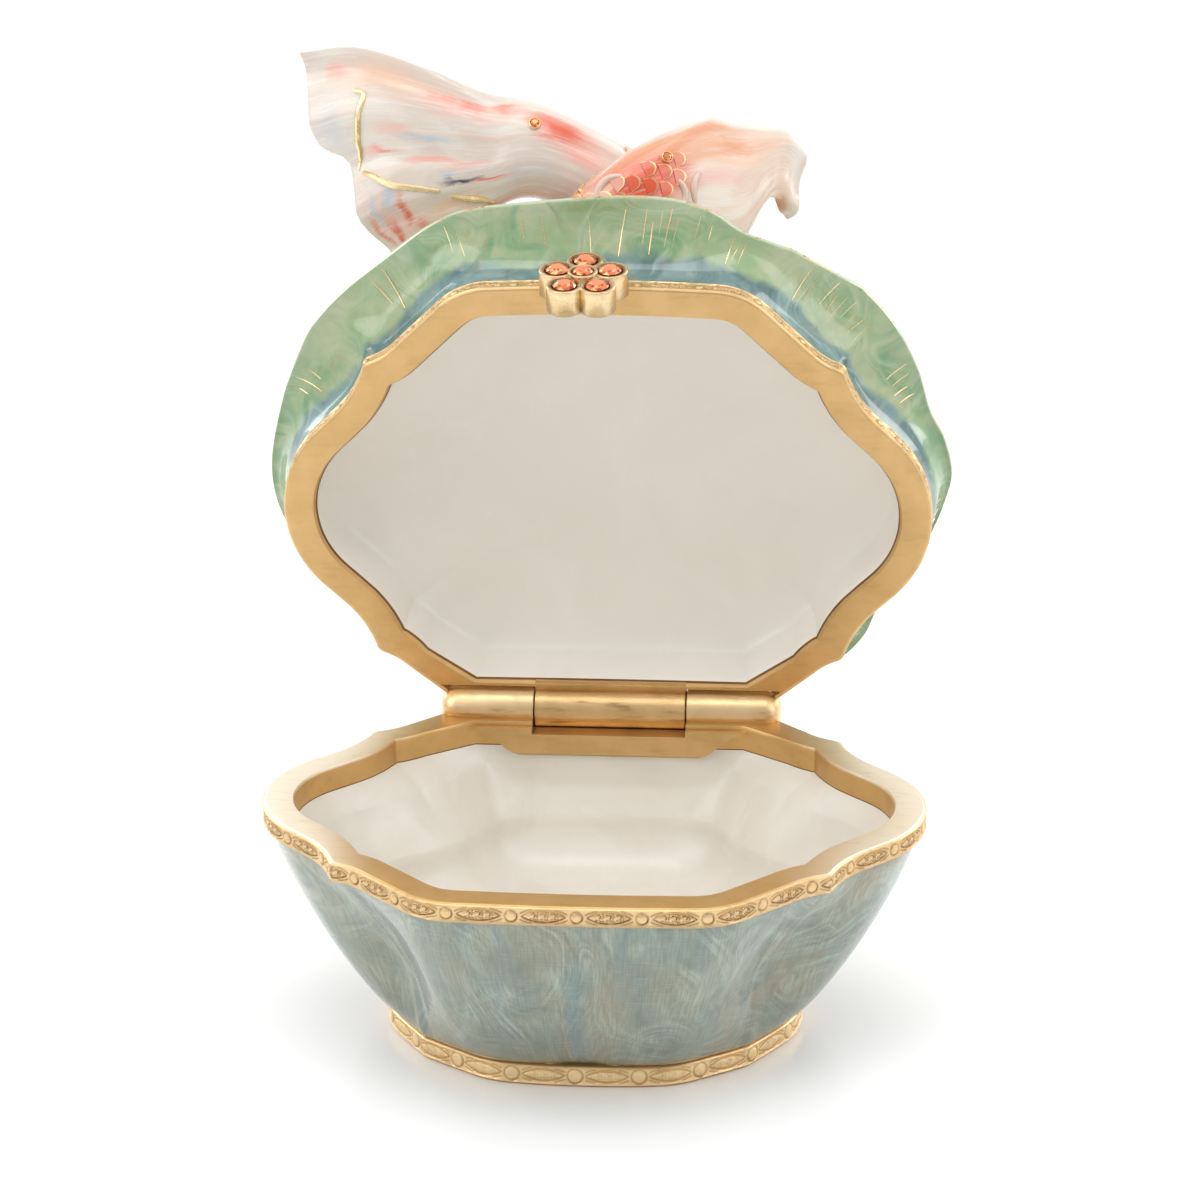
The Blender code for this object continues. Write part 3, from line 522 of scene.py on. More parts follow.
def pond_enamel():
    """Lily green that turns to water blue towards the lid's rim."""
    material, tree, shader = new_material("pond_enamel", Roughness=0.22, Coat_Weight=0.7,
                                          Coat_Roughness=0.05)
    shut = attribute(tree, "shut")
    curls = brush_marks(tree, shut, 8.0, 0.8, 5.0, 0.18)
    fine = brush_marks(tree, moved(tree, shut, (21.0, 5.0, 9.0)), 6.0, 0.5, 3.5, 0.16)
    clouds = vary(tree, shut, 0.16, 3.0, 0.6, distortion=0.4)
    deep = brush_marks(tree, moved(tree, shut, (3.0, 41.0, 9.0)), 9.0, 1.5, 6.0, 0.2)
    tan = vary(tree, shut, 0.5, 2.0, 0.6)
    green = blend(tree, ramp(tree, clouds, 0.35, 0.65), (0.27, 0.39, 0.195), (0.40, 0.46, 0.275))
    green = blend(tree, calc(tree, "MULTIPLY", deep, 0.9), green, (0.10, 0.28, 0.13))
    green = blend(tree, ramp(tree, tan, 0.56, 0.72, 0.0, 0.5), green, (0.38, 0.35, 0.21))
    green = blend(tree, calc(tree, "MULTIPLY", curls, 0.5), green, (0.48, 0.58, 0.40))
    green = blend(tree, calc(tree, "MULTIPLY", fine, 0.4), green, (0.10, 0.27, 0.14))
    water = blend(tree, ramp(tree, clouds, 0.4, 0.6), (0.07, 0.155, 0.155), (0.155, 0.275, 0.27))
    water = blend(tree, ramp(tree, tan, 0.5, 0.7, 0.0, 0.45), water, (0.30, 0.31, 0.22))
    water = blend(tree, calc(tree, "MULTIPLY", curls, 0.5), water, (0.38, 0.50, 0.49))
    height = add(tree, "ShaderNodeSeparateXYZ", {"Vector": shut}).outputs["Z"]
    shore = calc(tree, "MULTIPLY_ADD", vary(tree, shut, 0.13, 3.0, 0.6), -5.0, height)
    colour = blend(tree, ramp(tree, shore, 2.2, 3.2), water, green)
    paint(tree, shader, Base_Color=colour, Normal=relief(tree, curls, 0.02))
    return material


pond = pond_enamel()


def worn_edge():
    """Edge of the leaf: gold that shows through pale green in worn places."""
    material, tree, shader = new_material("leaf_edge", Roughness=0.38)
    shut = attribute(tree, "shut")
    worn = ramp(tree, vary(tree, shut, 0.28, 4.0, 0.7), 0.44, 0.56)
    speckle = ramp(tree, vary(tree, shut, 2.4, 3.0, 0.7), 0.5, 0.68)
    metal = blend(tree, speckle, (0.78, 0.56, 0.34), (0.30, 0.17, 0.07))
    colour = blend(tree, worn, (0.50, 0.56, 0.42), metal)
    paint(tree, shader, Base_Color=colour, Metallic=worn, Normal=relief(tree, speckle, 0.03))
    return material


leaf_edge = worn_edge()

# %% [markdown]
# ## The bowl
#
# One closed casting: foot, belly, rim, lip, inside wall and floor.  The belly swells from
# the foot like a tulip, and a soft ridge is drawn in below each ear.  It is a loft rather
# than a sculpted or extruded shape because every level has the same outline, only scaled,
# filled out and pinched by a rule.  Inside, the rings lose their corners on the way down, as
# thick enamel flows into them, and turn into the floor in a wide round.

# %% Bowl sizes
RIM_WIDTH = 3.1
RIM_BAND = 2.15
RIM_EDGE = 0.3
RIM_STEP = 0.2
RIM_UNDERCUT = 0.12
LIP_STEP = 0.15
LIP_DEPTH = 2.7
LIP_SLOPE = 2.0
WALL = 4.0
FLOOR = 8.5
FLOOR_ROUND = 5.6
SOFTENING = math.radians(12.0)
SOFTENED_BY = 5.0
SIDE_TOP = 0.98
SIDE_FOOT = 0.63
SIDE_BELLY = 1.2
SIDE_TURN = 0.8
RIDGE_DRAW = 3.9
RIDGE_SPREAD = math.radians(10.0)
FOOT_BAND = 2.4
FOOT_STEP = 0.1
FOOT_HALF_WIDTH = 22.1
FOOT_HALF_DEPTH = 17.7
FOOT_SQUARENESS = 2.35
FOOT_ROUNDING = 0.6
FOOT_ROUNDING_START = 1.3
VALLEY_DEPTH = 0.6
VALLEY_HALF_WIDTH = 4.0
BACK_WALL_Y = 21.3


def foot_ring():
    oval = superellipse(FOOT_HALF_WIDTH, FOOT_HALF_DEPTH, FOOT_SQUARENESS)
    return oval * FOOT_ROUNDING + RIM * (1.0 - FOOT_ROUNDING) * FOOT_HALF_WIDTH / HALF_WIDTH


def side_ring(depth):
    """Outer ring of the bowl's side, from 0 under the rim band to 1 at the foot."""
    turn = (1.0 - depth ** SIDE_BELLY) ** SIDE_TURN
    scale = SIDE_FOOT + (SIDE_TOP - SIDE_FOOT) * turn
    oval = superellipse(FOOT_HALF_WIDTH, FOOT_HALF_DEPTH, FOOT_SQUARENESS) / FOOT_HALF_WIDTH
    fill = FOOT_ROUNDING * depth ** FOOT_ROUNDING_START
    ring = (RIM * (1.0 - fill) + oval * HALF_WIDTH * fill) * scale
    across = ring * RAYS[:, 0] / VALLEY_HALF_WIDTH
    ring = ring - VALLEY_DEPTH * depth * np.exp(-across ** 2)
    ear = np.array((EAR_X, EAR_Y)) / math.hypot(EAR_X, EAR_Y)
    from_ear = np.arccos(np.clip(np.abs(RAYS) @ ear, -1.0, 1.0)) / RIDGE_SPREAD
    return ring - RIDGE_DRAW * math.sin(math.pi * depth) * np.exp(-from_ear ** 2)


def softened(radii):
    """The ring with its corners blurred away."""
    apart = np.arccos(np.clip(RAYS @ RAYS.T, -1.0, 1.0))
    weight = np.exp(-(apart / SOFTENING) ** 2)
    return weight @ radii / weight.sum(axis=1)


# %% Bowl casting
BOWL_ENAMEL, BOWL_GOLD, BOWL_PEARL, BOWL_SEAM = 0, 1, 2, 3
SEAM = 0.13
SIDE_LEVELS = 34
SIDE_CROWDING = 1.3
INSIDE_LEVELS = 16
FLOOR_LEVELS = 10


def bowl_mesh():
    top = RIM_HEIGHT
    side_top, side_foot = top - RIM_BAND - RIM_STEP, FOOT_BAND + FOOT_STEP
    foot = foot_ring()
    rings = edge_round(foot, RIM_EDGE, 0.0, RIM_EDGE)[::-1]
    rings += edge_round(foot, FOOT_BAND - RIM_EDGE, FOOT_BAND, RIM_EDGE)
    zones = [BOWL_GOLD] * (len(rings) + 1)
    for depth in 1.0 - np.linspace(0.0, 1.0, SIDE_LEVELS + 1) ** SIDE_CROWDING:
        rings.append(ring_at(side_ring(depth), side_top + (side_foot - side_top) * depth))
    zones += [BOWL_ENAMEL] * SIDE_LEVELS
    mouth = cut_back(inset(RIM, RIM_WIDTH), BACK_WALL_Y)
    lip = mouth - LIP_STEP
    rim = [ring_at(inset(RIM, RIM_UNDERCUT), top - RIM_BAND)]
    rim += edge_round(RIM, top - RIM_EDGE, top, RIM_EDGE)
    rim += [ring_at(mouth, top), ring_at(lip, top - RIM_EDGE), ring_at(lip, top - LIP_DEPTH)]
    rings += rim + [ring_at(lip, top - LIP_DEPTH - SEAM)]
    zones += [BOWL_GOLD] * len(rim) + [BOWL_SEAM]
    inside = []
    start = top - LIP_DEPTH - LIP_SLOPE
    for z in np.linspace(start, FLOOR + FLOOR_ROUND, INSIDE_LEVELS):
        wall = np.minimum(inset(side_ring((side_top - z) / (side_top - side_foot)), WALL), lip)
        share = min((start - z) / SOFTENED_BY, 1.0)
        wall = wall * (1.0 - share) + softened(wall) * share
        inside.append(ring_at(wall, z))
    for turn in np.linspace(0.1, 1.0, FLOOR_LEVELS) * math.pi / 2.0:
        inside.append(ring_at(wall - FLOOR_ROUND * (1.0 - math.cos(turn)),
                              FLOOR + FLOOR_ROUND * (1.0 - math.sin(turn))))
    rings += inside
    zones += [BOWL_PEARL] * (len(inside) + 1)
    return skin("bowl", rings, zones, (0.0, 0.0, 0.0), (0.0, 0.0, FLOOR))


bowl_casting = finished("bowl", bowl_mesh(), [teal, rim_gold, pearl, seam])
print("bowl faces:", len(bowl_casting.data.polygons))

# %% [markdown]
# ## Cutting the hinge's seat
#
# The middle knuckle belongs to the lid, so the bowl's back rim has a notch for it and a lug
# that carries on below.  A Boolean with a block and a bar is how a solid modeller would say
# this, and it is done once and made permanent, so no modifier is left on the piece.

# %% Bars, blocks and cuts
HINGE_Y, HINGE_Z = HINGE[1], HINGE[2]
KNUCKLE_R = 2.4
KNUCKLE_END = 18.8
KNUCKLE_SPLIT = 8.4
KNUCKLE_GAP = 0.07
KNUCKLE_SIDES = 48
TROUGH_GAP = 0.12
NOTCH_FLOOR = 1.2
NOTCH_REACH = 6.0
BOSS_Y = 20.5
BOSS_SINK = 0.6
# Half width of the lug, how far its face stands back and its height under the rim
BOSS_PROFILE = ((8.8, 0.6, -3.85), (9.9, 0.2, -3.7), (10.7, 0.0, -3.4), (11.4, 0.0, -2.95),
                (12.0, 0.0, -2.4), (12.7, 0.0, -1.8), (13.6, 0.0, -1.15), (15.2, 0.0, -0.45))


def turned(stations, place, sides):
    """Points and faces of a closed body turned about an axis; stations are (along, radius)."""
    angles = np.linspace(0.0, 2.0 * math.pi, sides, endpoint=False)
    points, faces = [], []
    for along, radius in stations:
        points += [place(along, radius * math.cos(a), radius * math.sin(a)) for a in angles]
    for row in range(len(stations) - 1):
        for i in range(sides):
            j = (i + 1) % sides
            a, b = row * sides, (row + 1) * sides
            faces.append((a + i, a + j, b + j, b + i))
    faces.append(tuple(range(sides))[::-1])
    faces.append(tuple((len(stations) - 1) * sides + i for i in range(sides)))
    return points, faces


def join_bodies(name, bodies):
    """One mesh from several closed bodies, each given as points and faces."""
    points, faces = [], []
    for body_points, body_faces in bodies:
        faces += [tuple(len(points) + i for i in face) for face in body_faces]
        points += [tuple(p) for p in body_points]
    return closed_mesh(name, points, faces, [0] * len(faces))


def about_hinge(along, a, b):
    return (along, HINGE_Y + a, HINGE_Z + b)


def slab(rings):
    """Points and faces of a closed body through rings of four corners."""
    points = [corner for ring in rings for corner in ring]
    faces = [(3, 2, 1, 0), tuple(len(points) - 4 + i for i in range(4))]
    for row in range(len(rings) - 1):
        for i in range(4):
            a, b, j = row * 4, row * 4 + 4, (i + 1) % 4
            faces.append((a + i, a + j, b + j, b + i))
    return points, faces


def block(low, high):
    x0, y0, z0 = low
    x1, y1, z1 = high
    return slab([[(x0, y0, z), (x1, y0, z), (x1, y1, z), (x0, y1, z)] for z in (z0, z1)])


def carry_over(before, after):
    """Gives each point the stored vectors of the nearest point before the cut."""
    tree = KDTree(len(before.vertices))
    for vertex in before.vertices:
        tree.insert(vertex.co, vertex.index)
    tree.balance()
    nearest = [tree.find(vertex.co)[1] for vertex in after.vertices]
    for name in ("wrap", "shut"):
        values = np.zeros(len(before.vertices) * 3, dtype=np.float32)
        before.attributes[name].data.foreach_get("vector", values)
        if name in after.attributes:
            after.attributes.remove(after.attributes[name])
        store_vectors(after, name, values.reshape(-1, 3)[nearest])


def cut(target, *steps):
    """Makes each Boolean step on the target permanent; a step is (operation, points, faces)."""
    tools = []
    for operation, (points, faces) in steps:
        tool = finished("tool", closed_mesh("tool", points, faces, [0] * len(faces)), [gold])
        modifier = target.modifiers.new("cut", "BOOLEAN")
        modifier.operation, modifier.object, modifier.solver = operation, tool, "EXACT"
        modifier.material_mode = "TRANSFER"
        tools.append(tool)
    evaluated = target.evaluated_get(bpy.context.evaluated_depsgraph_get())
    mesh = bpy.data.meshes.new_from_object(evaluated)
    target.modifiers.clear()
    carry_over(target.data, mesh)
    target.data = mesh
    mesh.set_sharp_from_angle(angle=math.radians(40.0))
    for tool in tools:
        bpy.data.objects.remove(tool)


# %% Hinge seat in the bowl
def boss_corners(half, front, z):
    z += RIM_HEIGHT
    return [(-half, front, z), (half, front, z), (half, HINGE_Y, z), (-half, HINGE_Y, z)]


boss = slab([boss_corners(half, BOSS_Y + back, z) for half, back, z in BOSS_PROFILE])
notch_half = KNUCKLE_SPLIT + KNUCKLE_GAP
notch = block((-notch_half, BOSS_Y - BOSS_SINK, RIM_HEIGHT - NOTCH_FLOOR),
              (notch_half, HINGE_Y + NOTCH_REACH, RIM_HEIGHT + NOTCH_REACH))
trough_r = KNUCKLE_R + TROUGH_GAP
trough = turned([(-notch_half, trough_r), (notch_half, trough_r)], about_hinge, KNUCKLE_SIDES)
cut(bowl_casting, ("UNION", boss), ("DIFFERENCE", notch), ("DIFFERENCE", trough))
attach(bowl_casting, "base")
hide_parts("base_bowl")

# %% [markdown]
# ## Knuckles
#
# The three knuckles are short tubes.  The outer two are soldered to the rim and are filed
# round at their far ends; the middle one is cut square and sits on the lid's lug.

# %% Knuckles
CHAMFER = 0.08
# Round far end of an outer knuckle: distance from the end and what the radius loses there
KNUCKLE_CAP = ((1.7, 0.0), (0.9, 0.15), (0.35, 0.5), (0.0, 1.2))


def outer_knuckle(side):
    inner, outer = side * (KNUCKLE_SPLIT + KNUCKLE_GAP), side * KNUCKLE_END
    stations = [(inner, KNUCKLE_R - CHAMFER), (inner + side * CHAMFER, KNUCKLE_R)]
    stations += [(outer - side * back, KNUCKLE_R - loss) for back, loss in KNUCKLE_CAP]
    return turned(stations, about_hinge, KNUCKLE_SIDES)


outer_knuckles = finished("outer_knuckles", join_bodies(
    "outer_knuckles", [outer_knuckle(-1), outer_knuckle(1)]), [knuckle_gold_lit])
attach(outer_knuckles, "base")

middle_half = KNUCKLE_SPLIT - KNUCKLE_GAP
middle_stations = [(-middle_half, KNUCKLE_R - CHAMFER), (-middle_half + CHAMFER, KNUCKLE_R),
                   (middle_half - CHAMFER, KNUCKLE_R), (middle_half, KNUCKLE_R - CHAMFER)]
middle_knuckle = finished("middle_knuckle", join_bodies(
    "middle_knuckle", [turned(middle_stations, about_hinge, KNUCKLE_SIDES)]), [worn_gold])
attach(middle_knuckle, "lid")
frame["nodes"]["hinge_pin"].data.materials[0] = gold

# %% [markdown]
# ## Engraved friezes
#
# Both rims and the foot carry a rolled pattern of eye-shaped leaves with a bead between
# them.  One tile of it is drawn flat, as heights over a fine grid, with the grooves marked
# for the dark polish.  A Geometry Nodes tree lays copies in a row as long as the band and
# then bends the row round it: each point's x becomes a distance along the band's line, y
# goes up and z goes out.  Real friezes are made the same way, with a rolling wheel.

# %% Tile of the frieze
TILE_CELL = 0.115
GROOVE_WIDTH = 0.095
GROOVE_DEPTH = 0.13
LEAF_SWELL = 0.09
BEAD_SWELL = 0.13
FRIEZE_SINK = 0.4
FRIEZE_PROUD = 0.05
TILE_MARGIN = 0.1


def dent(distance, width):
    return np.exp(-(distance / width) ** 2)


def leaf_and_bead(x, y, pitch, height, bead_share, hatched):
    """Height and groove value of the pattern, x and y measured from the leaf's middle.

    The leaf is filled with small pits, a crescent is cut round the bead, and a short bract
    follows each end of the leaf.
    """
    reach = pitch * 0.33
    tall = height * 0.31
    share = np.clip(1.0 - (x / reach) ** 2, 0.0, 1.0)
    leaf = np.abs(y) - tall * share ** 0.85
    outside = np.abs(x) > reach
    leaf = np.where(outside, np.hypot(np.abs(x) - reach, y), leaf)
    bead = np.hypot(np.abs(x) - pitch / 2.0, y)
    bead_r = height * bead_share
    wide = np.clip(1.0 - (x / (reach * 1.22)) ** 2, 0.0, 1.0)
    bract = np.abs(np.abs(y) - tall * 1.35 * wide ** 0.6)
    bract_on = (np.abs(x) > reach * 0.55) & (np.abs(x) < reach * 1.2) & (bead > bead_r * 1.5)
    pits = np.sin(12.0 * x + 2.5 * np.sin(8.0 * y)) * np.sin(17.0 * y + 2.2 * np.sin(6.0 * x + 1.0))
    hatch = np.clip(2.4 * pits, 0.0, 1.0) * (leaf < -0.13) * (np.abs(x) < reach * 0.75)
    groove = dent(leaf, GROOVE_WIDTH) * (~outside | (leaf < 0.1))
    low_side = 0.65 - 0.35 * (y - 0.6 * (np.abs(x) - pitch / 2.0) * np.sign(x)) / bead_r
    crescent = dent(bead - bead_r, GROOVE_WIDTH) * np.clip(low_side, 0.5, 1.0)
    groove = np.maximum(groove, crescent)
    groove = np.maximum(groove, 0.75 * dent(bract, 0.07) * bract_on)
    groove = np.maximum(groove, hatched * hatch)
    swell = LEAF_SWELL * np.clip(-leaf / tall, 0.0, 1.0) ** 0.6
    swell = swell + BEAD_SWELL * np.clip(1.0 - (bead / bead_r) ** 2, 0.0, 1.0) ** 0.5
    border = 0.07 * dent(np.abs(y) - height / 2.0 + 0.12, 0.12)
    return swell + border - GROOVE_DEPTH * groove, groove


def frieze_tile(name, pitch, height, bead_share, hatched):
    columns, rows = round(pitch / TILE_CELL), round(height / TILE_CELL)
    x = np.linspace(0.0, pitch, columns + 1)
    y = np.linspace(0.0, height, rows + 1)
    grid_x, grid_y = np.meshgrid(x, y, indexing="ij")
    relief_z, groove = leaf_and_bead(grid_x - pitch / 2.0, grid_y - height / 2.0, pitch, height,
                                     bead_share, hatched)
    soft_edge = np.minimum(np.minimum(grid_y, height - grid_y) / TILE_MARGIN, 1.0)
    front = np.stack([grid_x, grid_y, FRIEZE_PROUD * soft_edge + relief_z * soft_edge], axis=-1)
    back = np.stack([np.repeat(x[:, None], 2, axis=1), np.tile((height, 0.0), (len(x), 1)),
                     np.full((len(x), 2), -FRIEZE_SINK)], axis=-1)
    points = np.concatenate([front, back], axis=1)
    around = points.shape[1]
    faces = []
    for c in range(columns):
        for r in range(around):
            a, b = c * around, (c + 1) * around
            faces.append((a + r, b + r, b + (r + 1) % around, a + (r + 1) % around))
    mesh = bpy.data.meshes.new(name)
    mesh.from_pydata((points.reshape(-1, 3) * MM).tolist(), [], faces)
    values = np.concatenate([groove, np.zeros((len(x), 2))], axis=1).ravel()
    mesh.attributes.new("groove", "FLOAT", "POINT").data.foreach_set("value", values)
    return mesh


# %% Geometry Nodes for bands, wires and settings


def new_tree(name, inputs):
    """Geometry tree with a geometry input, the named inputs and a geometry output."""
    tree = bpy.data.node_groups.new(name, "GeometryNodeTree")
    tree.is_modifier = True
    tree.interface.new_socket("Geometry", in_out="INPUT", socket_type="NodeSocketGeometry")
    for label, kind in inputs:
        tree.interface.new_socket(label, in_out="INPUT", socket_type="NodeSocket" + kind)
    tree.interface.new_socket("Geometry", in_out="OUTPUT", socket_type="NodeSocketGeometry")
    return tree, tree.nodes.new("NodeGroupInput").outputs


def close_tree(tree, geometry, material):
    """Last nodes of every tree: real geometry, smooth, with its material set."""
    real = add(tree, "GeometryNodeRealizeInstances", {"Geometry": geometry}).outputs[0]
    dressed = add(tree, "GeometryNodeSetMaterial", {"Geometry": real, "Material": material})
    tree.links.new(dressed.outputs[0], tree.nodes.new("NodeGroupOutput").inputs[0])


def band_tree():
    tree, given = new_tree("frieze_round_a_band", (
        ("Band", "Object"), ("Count", "Int"), ("Pitch", "Float"), ("Up", "Vector"),
        ("Material", "Material")))
    step = add(tree, "ShaderNodeCombineXYZ", {"X": given["Pitch"]}).outputs[0]
    row = add(tree, "GeometryNodeMeshLine", {"Count": given["Count"], "Offset": step},
              mode="OFFSET").outputs[0]
    tiles = add(tree, "GeometryNodeInstanceOnPoints", {"Points": row,
                "Instance": given["Geometry"]}).outputs[0]
    strip = add(tree, "GeometryNodeRealizeInstances", {"Geometry": tiles}).outputs[0]
    place = add(tree, "ShaderNodeSeparateXYZ",
                {"Vector": add(tree, "GeometryNodeInputPosition").outputs[0]}).outputs
    line = add(tree, "GeometryNodeObjectInfo", {"Object": given["Band"]}).outputs["Geometry"]
    sample = add(tree, "GeometryNodeSampleCurve", {"Curves": line, "Length": place["X"]},
                 mode="LENGTH").outputs
    out = add(tree, "ShaderNodeVectorMath", {0: sample["Tangent"], 1: given["Up"]},
              operation="CROSS_PRODUCT").outputs[0]
    out = add(tree, "ShaderNodeVectorMath", {0: out}, operation="NORMALIZE").outputs[0]
    lifted = add(tree, "ShaderNodeVectorMath", {0: given["Up"], "Scale": place["Y"]},
                 operation="SCALE").outputs[0]
    proud = add(tree, "ShaderNodeVectorMath", {0: out, "Scale": place["Z"]},
                operation="SCALE").outputs[0]
    shift = add(tree, "ShaderNodeVectorMath", {0: lifted, 1: proud}, operation="ADD").outputs[0]
    spot = add(tree, "ShaderNodeVectorMath", {0: sample["Position"], 1: shift},
               operation="ADD").outputs[0]
    bent = add(tree, "GeometryNodeSetPosition", {"Geometry": strip, "Position": spot}).outputs[0]
    sealed = add(tree, "GeometryNodeMergeByDistance", {"Geometry": bent,
                 "Distance": 0.004 * MM}).outputs[0]
    close_tree(tree, sealed, given["Material"])
    return tree


def wire_tree():
    tree, given = new_tree("wire_along_lines", (
        ("Lines", "Object"), ("Sides", "Int"), ("Material", "Material")))
    line = add(tree, "GeometryNodeObjectInfo", {"Object": given["Lines"]}).outputs["Geometry"]
    section = add(tree, "GeometryNodeCurvePrimitiveCircle", {"Resolution": given["Sides"],
                  "Radius": 1.0}).outputs[0]
    inputs = {"Curve": line, "Profile Curve": section, "Fill Caps": True}
    tube = add(tree, "GeometryNodeCurveToMesh", inputs)
    if "Scale" in tube.inputs:
        tree.links.new(add(tree, "GeometryNodeInputRadius").outputs[0], tube.inputs["Scale"])
    close_tree(tree, tube.outputs[0], given["Material"])
    return tree


def setting_tree():
    tree, given = new_tree("set_on_a_surface", (("Jewel", "Object"), ("Material", "Material")))

    def stored(name, kind="FLOAT_VECTOR"):
        return add(tree, "GeometryNodeInputNamedAttribute", {"Name": name},
                   data_type=kind).outputs["Attribute"]

    facing = add(tree, "FunctionNodeAxesToRotation", {"Primary Axis": stored("facing"),
                 "Secondary Axis": stored("ahead")}, primary_axis="Z",
                 secondary_axis="X").outputs[0]
    jewel = add(tree, "GeometryNodeObjectInfo", {"Object": given["Jewel"]}).outputs["Geometry"]
    copies = add(tree, "GeometryNodeInstanceOnPoints", {"Points": given["Geometry"],
                 "Instance": jewel, "Rotation": facing, "Scale": stored("size")}).outputs[0]
    close_tree(tree, copies, given["Material"])
    return tree


BAND_TREE, WIRE_TREE, SETTING_TREE = band_tree(), wire_tree(), setting_tree()


def grow(name, tree, mesh, values, body, smooth_angle=40.0):
    """Runs a tree on a mesh, keeps the plain result as one piece and lets it ride."""
    guide = bpy.data.objects.new(name + "_guide", mesh)
    bpy.context.scene.collection.objects.link(guide)
    modifier = guide.modifiers.new(tree.name, "NODES")
    modifier.node_group = tree
    for item in tree.interface.items_tree:
        if item.in_out == "INPUT" and item.name in values:
            modifier[item.identifier] = values[item.name]
    evaluated = guide.evaluated_get(bpy.context.evaluated_depsgraph_get())
    result = bpy.data.meshes.new_from_object(evaluated)
    for helper in [guide] + [v for v in values.values() if isinstance(v, bpy.types.Object)]:
        bpy.data.objects.remove(helper)
    result.name = name
    piece = finished(name, result, [], smooth_angle)
    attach(piece, body)
    print(f"{name}: {len(result.polygons)} faces")
    return piece


def lines_object(name, lines, closed=False):
    """Curve object of straight-jointed lines; a line is points in mm and a radius or radii."""
    curve = bpy.data.curves.new(name, "CURVE")
    curve.dimensions = "3D"
    for points, radius in lines:
        spline = curve.splines.new("POLY")
        spline.points.add(len(points) - 1)
        rows = np.column_stack([np.asarray(points) * MM, np.ones(len(points))])
        spline.points.foreach_set("co", rows.ravel())
        radii = np.broadcast_to(np.asarray(radius, dtype=float) * MM, len(points))
        spline.points.foreach_set("radius", radii.copy())
        spline.use_cyclic_u = closed
    obj = bpy.data.objects.new(name, curve)
    bpy.context.scene.collection.objects.link(obj)
    return obj


def loop_length(points):
    return np.linalg.norm(np.roll(points, -1, axis=0) - points, axis=1).sum()


def frieze(name, ring, height, wanted_pitch, up, body, bead_share=0.3, hatched=0.8, start=0,
           metal=engraved_gold_lit):
    """Band of tiles along a ring at the band's lower edge, begun at its start-th point."""
    ring = np.roll(ring, -start, axis=0)
    length = loop_length(ring)
    count = round(length / wanted_pitch)
    tile = frieze_tile(name + "_tile", length / count, height, bead_share, hatched)
    return grow(name, BAND_TREE, tile, {
        "Band": lines_object(name + "_line", [(ring, 1.0)], closed=True), "Count": count,
        "Pitch": length / count * MM, "Up": tuple(up), "Material": metal}, body)


def wires(name, lines, material, body, sides=8, closed=False):
    return grow(name, WIRE_TREE, bpy.data.meshes.new(name), {
        "Lines": lines_object(name + "_lines", lines, closed), "Sides": sides,
        "Material": material}, body)


# %% Friezes of the bowl
FRIEZE_PITCH = 6.6
RIM_FRIEZE_MARGIN = 0.12
FOOT_FRIEZE_LIFT = 0.2
FOOT_FRIEZE_MARGIN = 0.3
UP = (0.0, 0.0, 1.0)
rim_line = ring_at(RIM, RIM_HEIGHT - RIM_BAND)
frieze("bowl_rim_frieze", rim_line, RIM_BAND - RIM_FRIEZE_MARGIN, FRIEZE_PITCH, UP, "base",
       start=5)
frieze("foot_frieze", ring_at(foot_ring(), FOOT_FRIEZE_LIFT), FOOT_BAND - FOOT_FRIEZE_MARGIN,
       FRIEZE_PITCH, UP, "base", bead_share=0.38, hatched=0.25, start=2, metal=foot_gold_lit)

# %% [markdown]
# ## The lid
#
# The lid is one more loft, drawn closed and swung open.  Going up from the rim it is a gold
# band, a drawn-in band of water, a flare that carries the leaf out over the water, a thin
# leaf edge and the shallow dome of the pad.  Below it is hollow up to a pearl ceiling.

# %% Lid sizes
LID_BAND_TOP = 2.2
LID_SHOULDER_Y = 24.2
LID_BACK_Y = 21.95
LID_BACK_WALL = 0.35
LID_BACK_RIM = 2.2
LID_BACK_SPREAD = math.radians(12.0)
LID_NOTCH_END = 19.0
LID_NOTCH_TOP = 5.2
LID_LIP_DRAW = 0.35
LID_LIP_HEIGHT = 0.7
LID_FRIEZE_LIFT = 0.12
LID_FRIEZE_MARGIN = 0.15
LUG_SINK = 0.6
LUG_LIFT = 0.05
WATER_TOP = 5.0
WATER_FLARE = 0.5
WATER_DRAW = 0.4
NECK_SHOULDER = 0.3
NECK_DRAW = 1.0
PAD_EDGE_Z = 7.9
PAD_EDGE = 0.9
PAD_EDGE_UNDER_DRAW = 0.3
FLARE_RISE = 0.8
DOME_TOP = 11.7
DOME_DIP = 0.8
DOME_DIP_AT = 0.9
DOME_FULLNESS = 0.9
LID_CEILING = 9.9
CEILING_CURVE = ((1.0, 0.07), (0.99, 0.5), (0.93, 0.7), (0.67, 0.88), (0.35, 0.98), (0.0, 1.0))
# Wavy margin of the lily pad, going round from the right side past the back and the front
PAD_MARGIN = (
    (37.2, -1.6), (36.4, 2.2), (35.3, 5.4), (33.8, 9.0), (31.5, 12.3), (29.3, 15.6),
    (27.8, 19.2), (24.9, 22.4), (19.6, 24.9), (8.0, 25.6), (-8.0, 25.6), (-19.6, 24.9),
    (-24.4, 22.4), (-26.8, 19.0), (-29.1, 16.0), (-31.4, 13.1), (-33.6, 9.9), (-36.2, 6.1),
    (-37.4, 2.0), (-37.4, -2.6), (-36.0, -8.8), (-34.5, -13.2), (-31.8, -18.8),
    (-27.4, -23.6), (-22.3, -27.6), (-19.6, -30.0), (-15.4, -32.2), (-9.9, -33.1),
    (-3.5, -33.8), (2.9, -34.2), (8.2, -33.7), (11.7, -32.3), (14.6, -30.2), (18.6, -28.6),
    (22.6, -27.2), (26.3, -24.8), (30.6, -19.8), (33.4, -14.0), (34.7, -9.2), (36.3, -5.8),
)


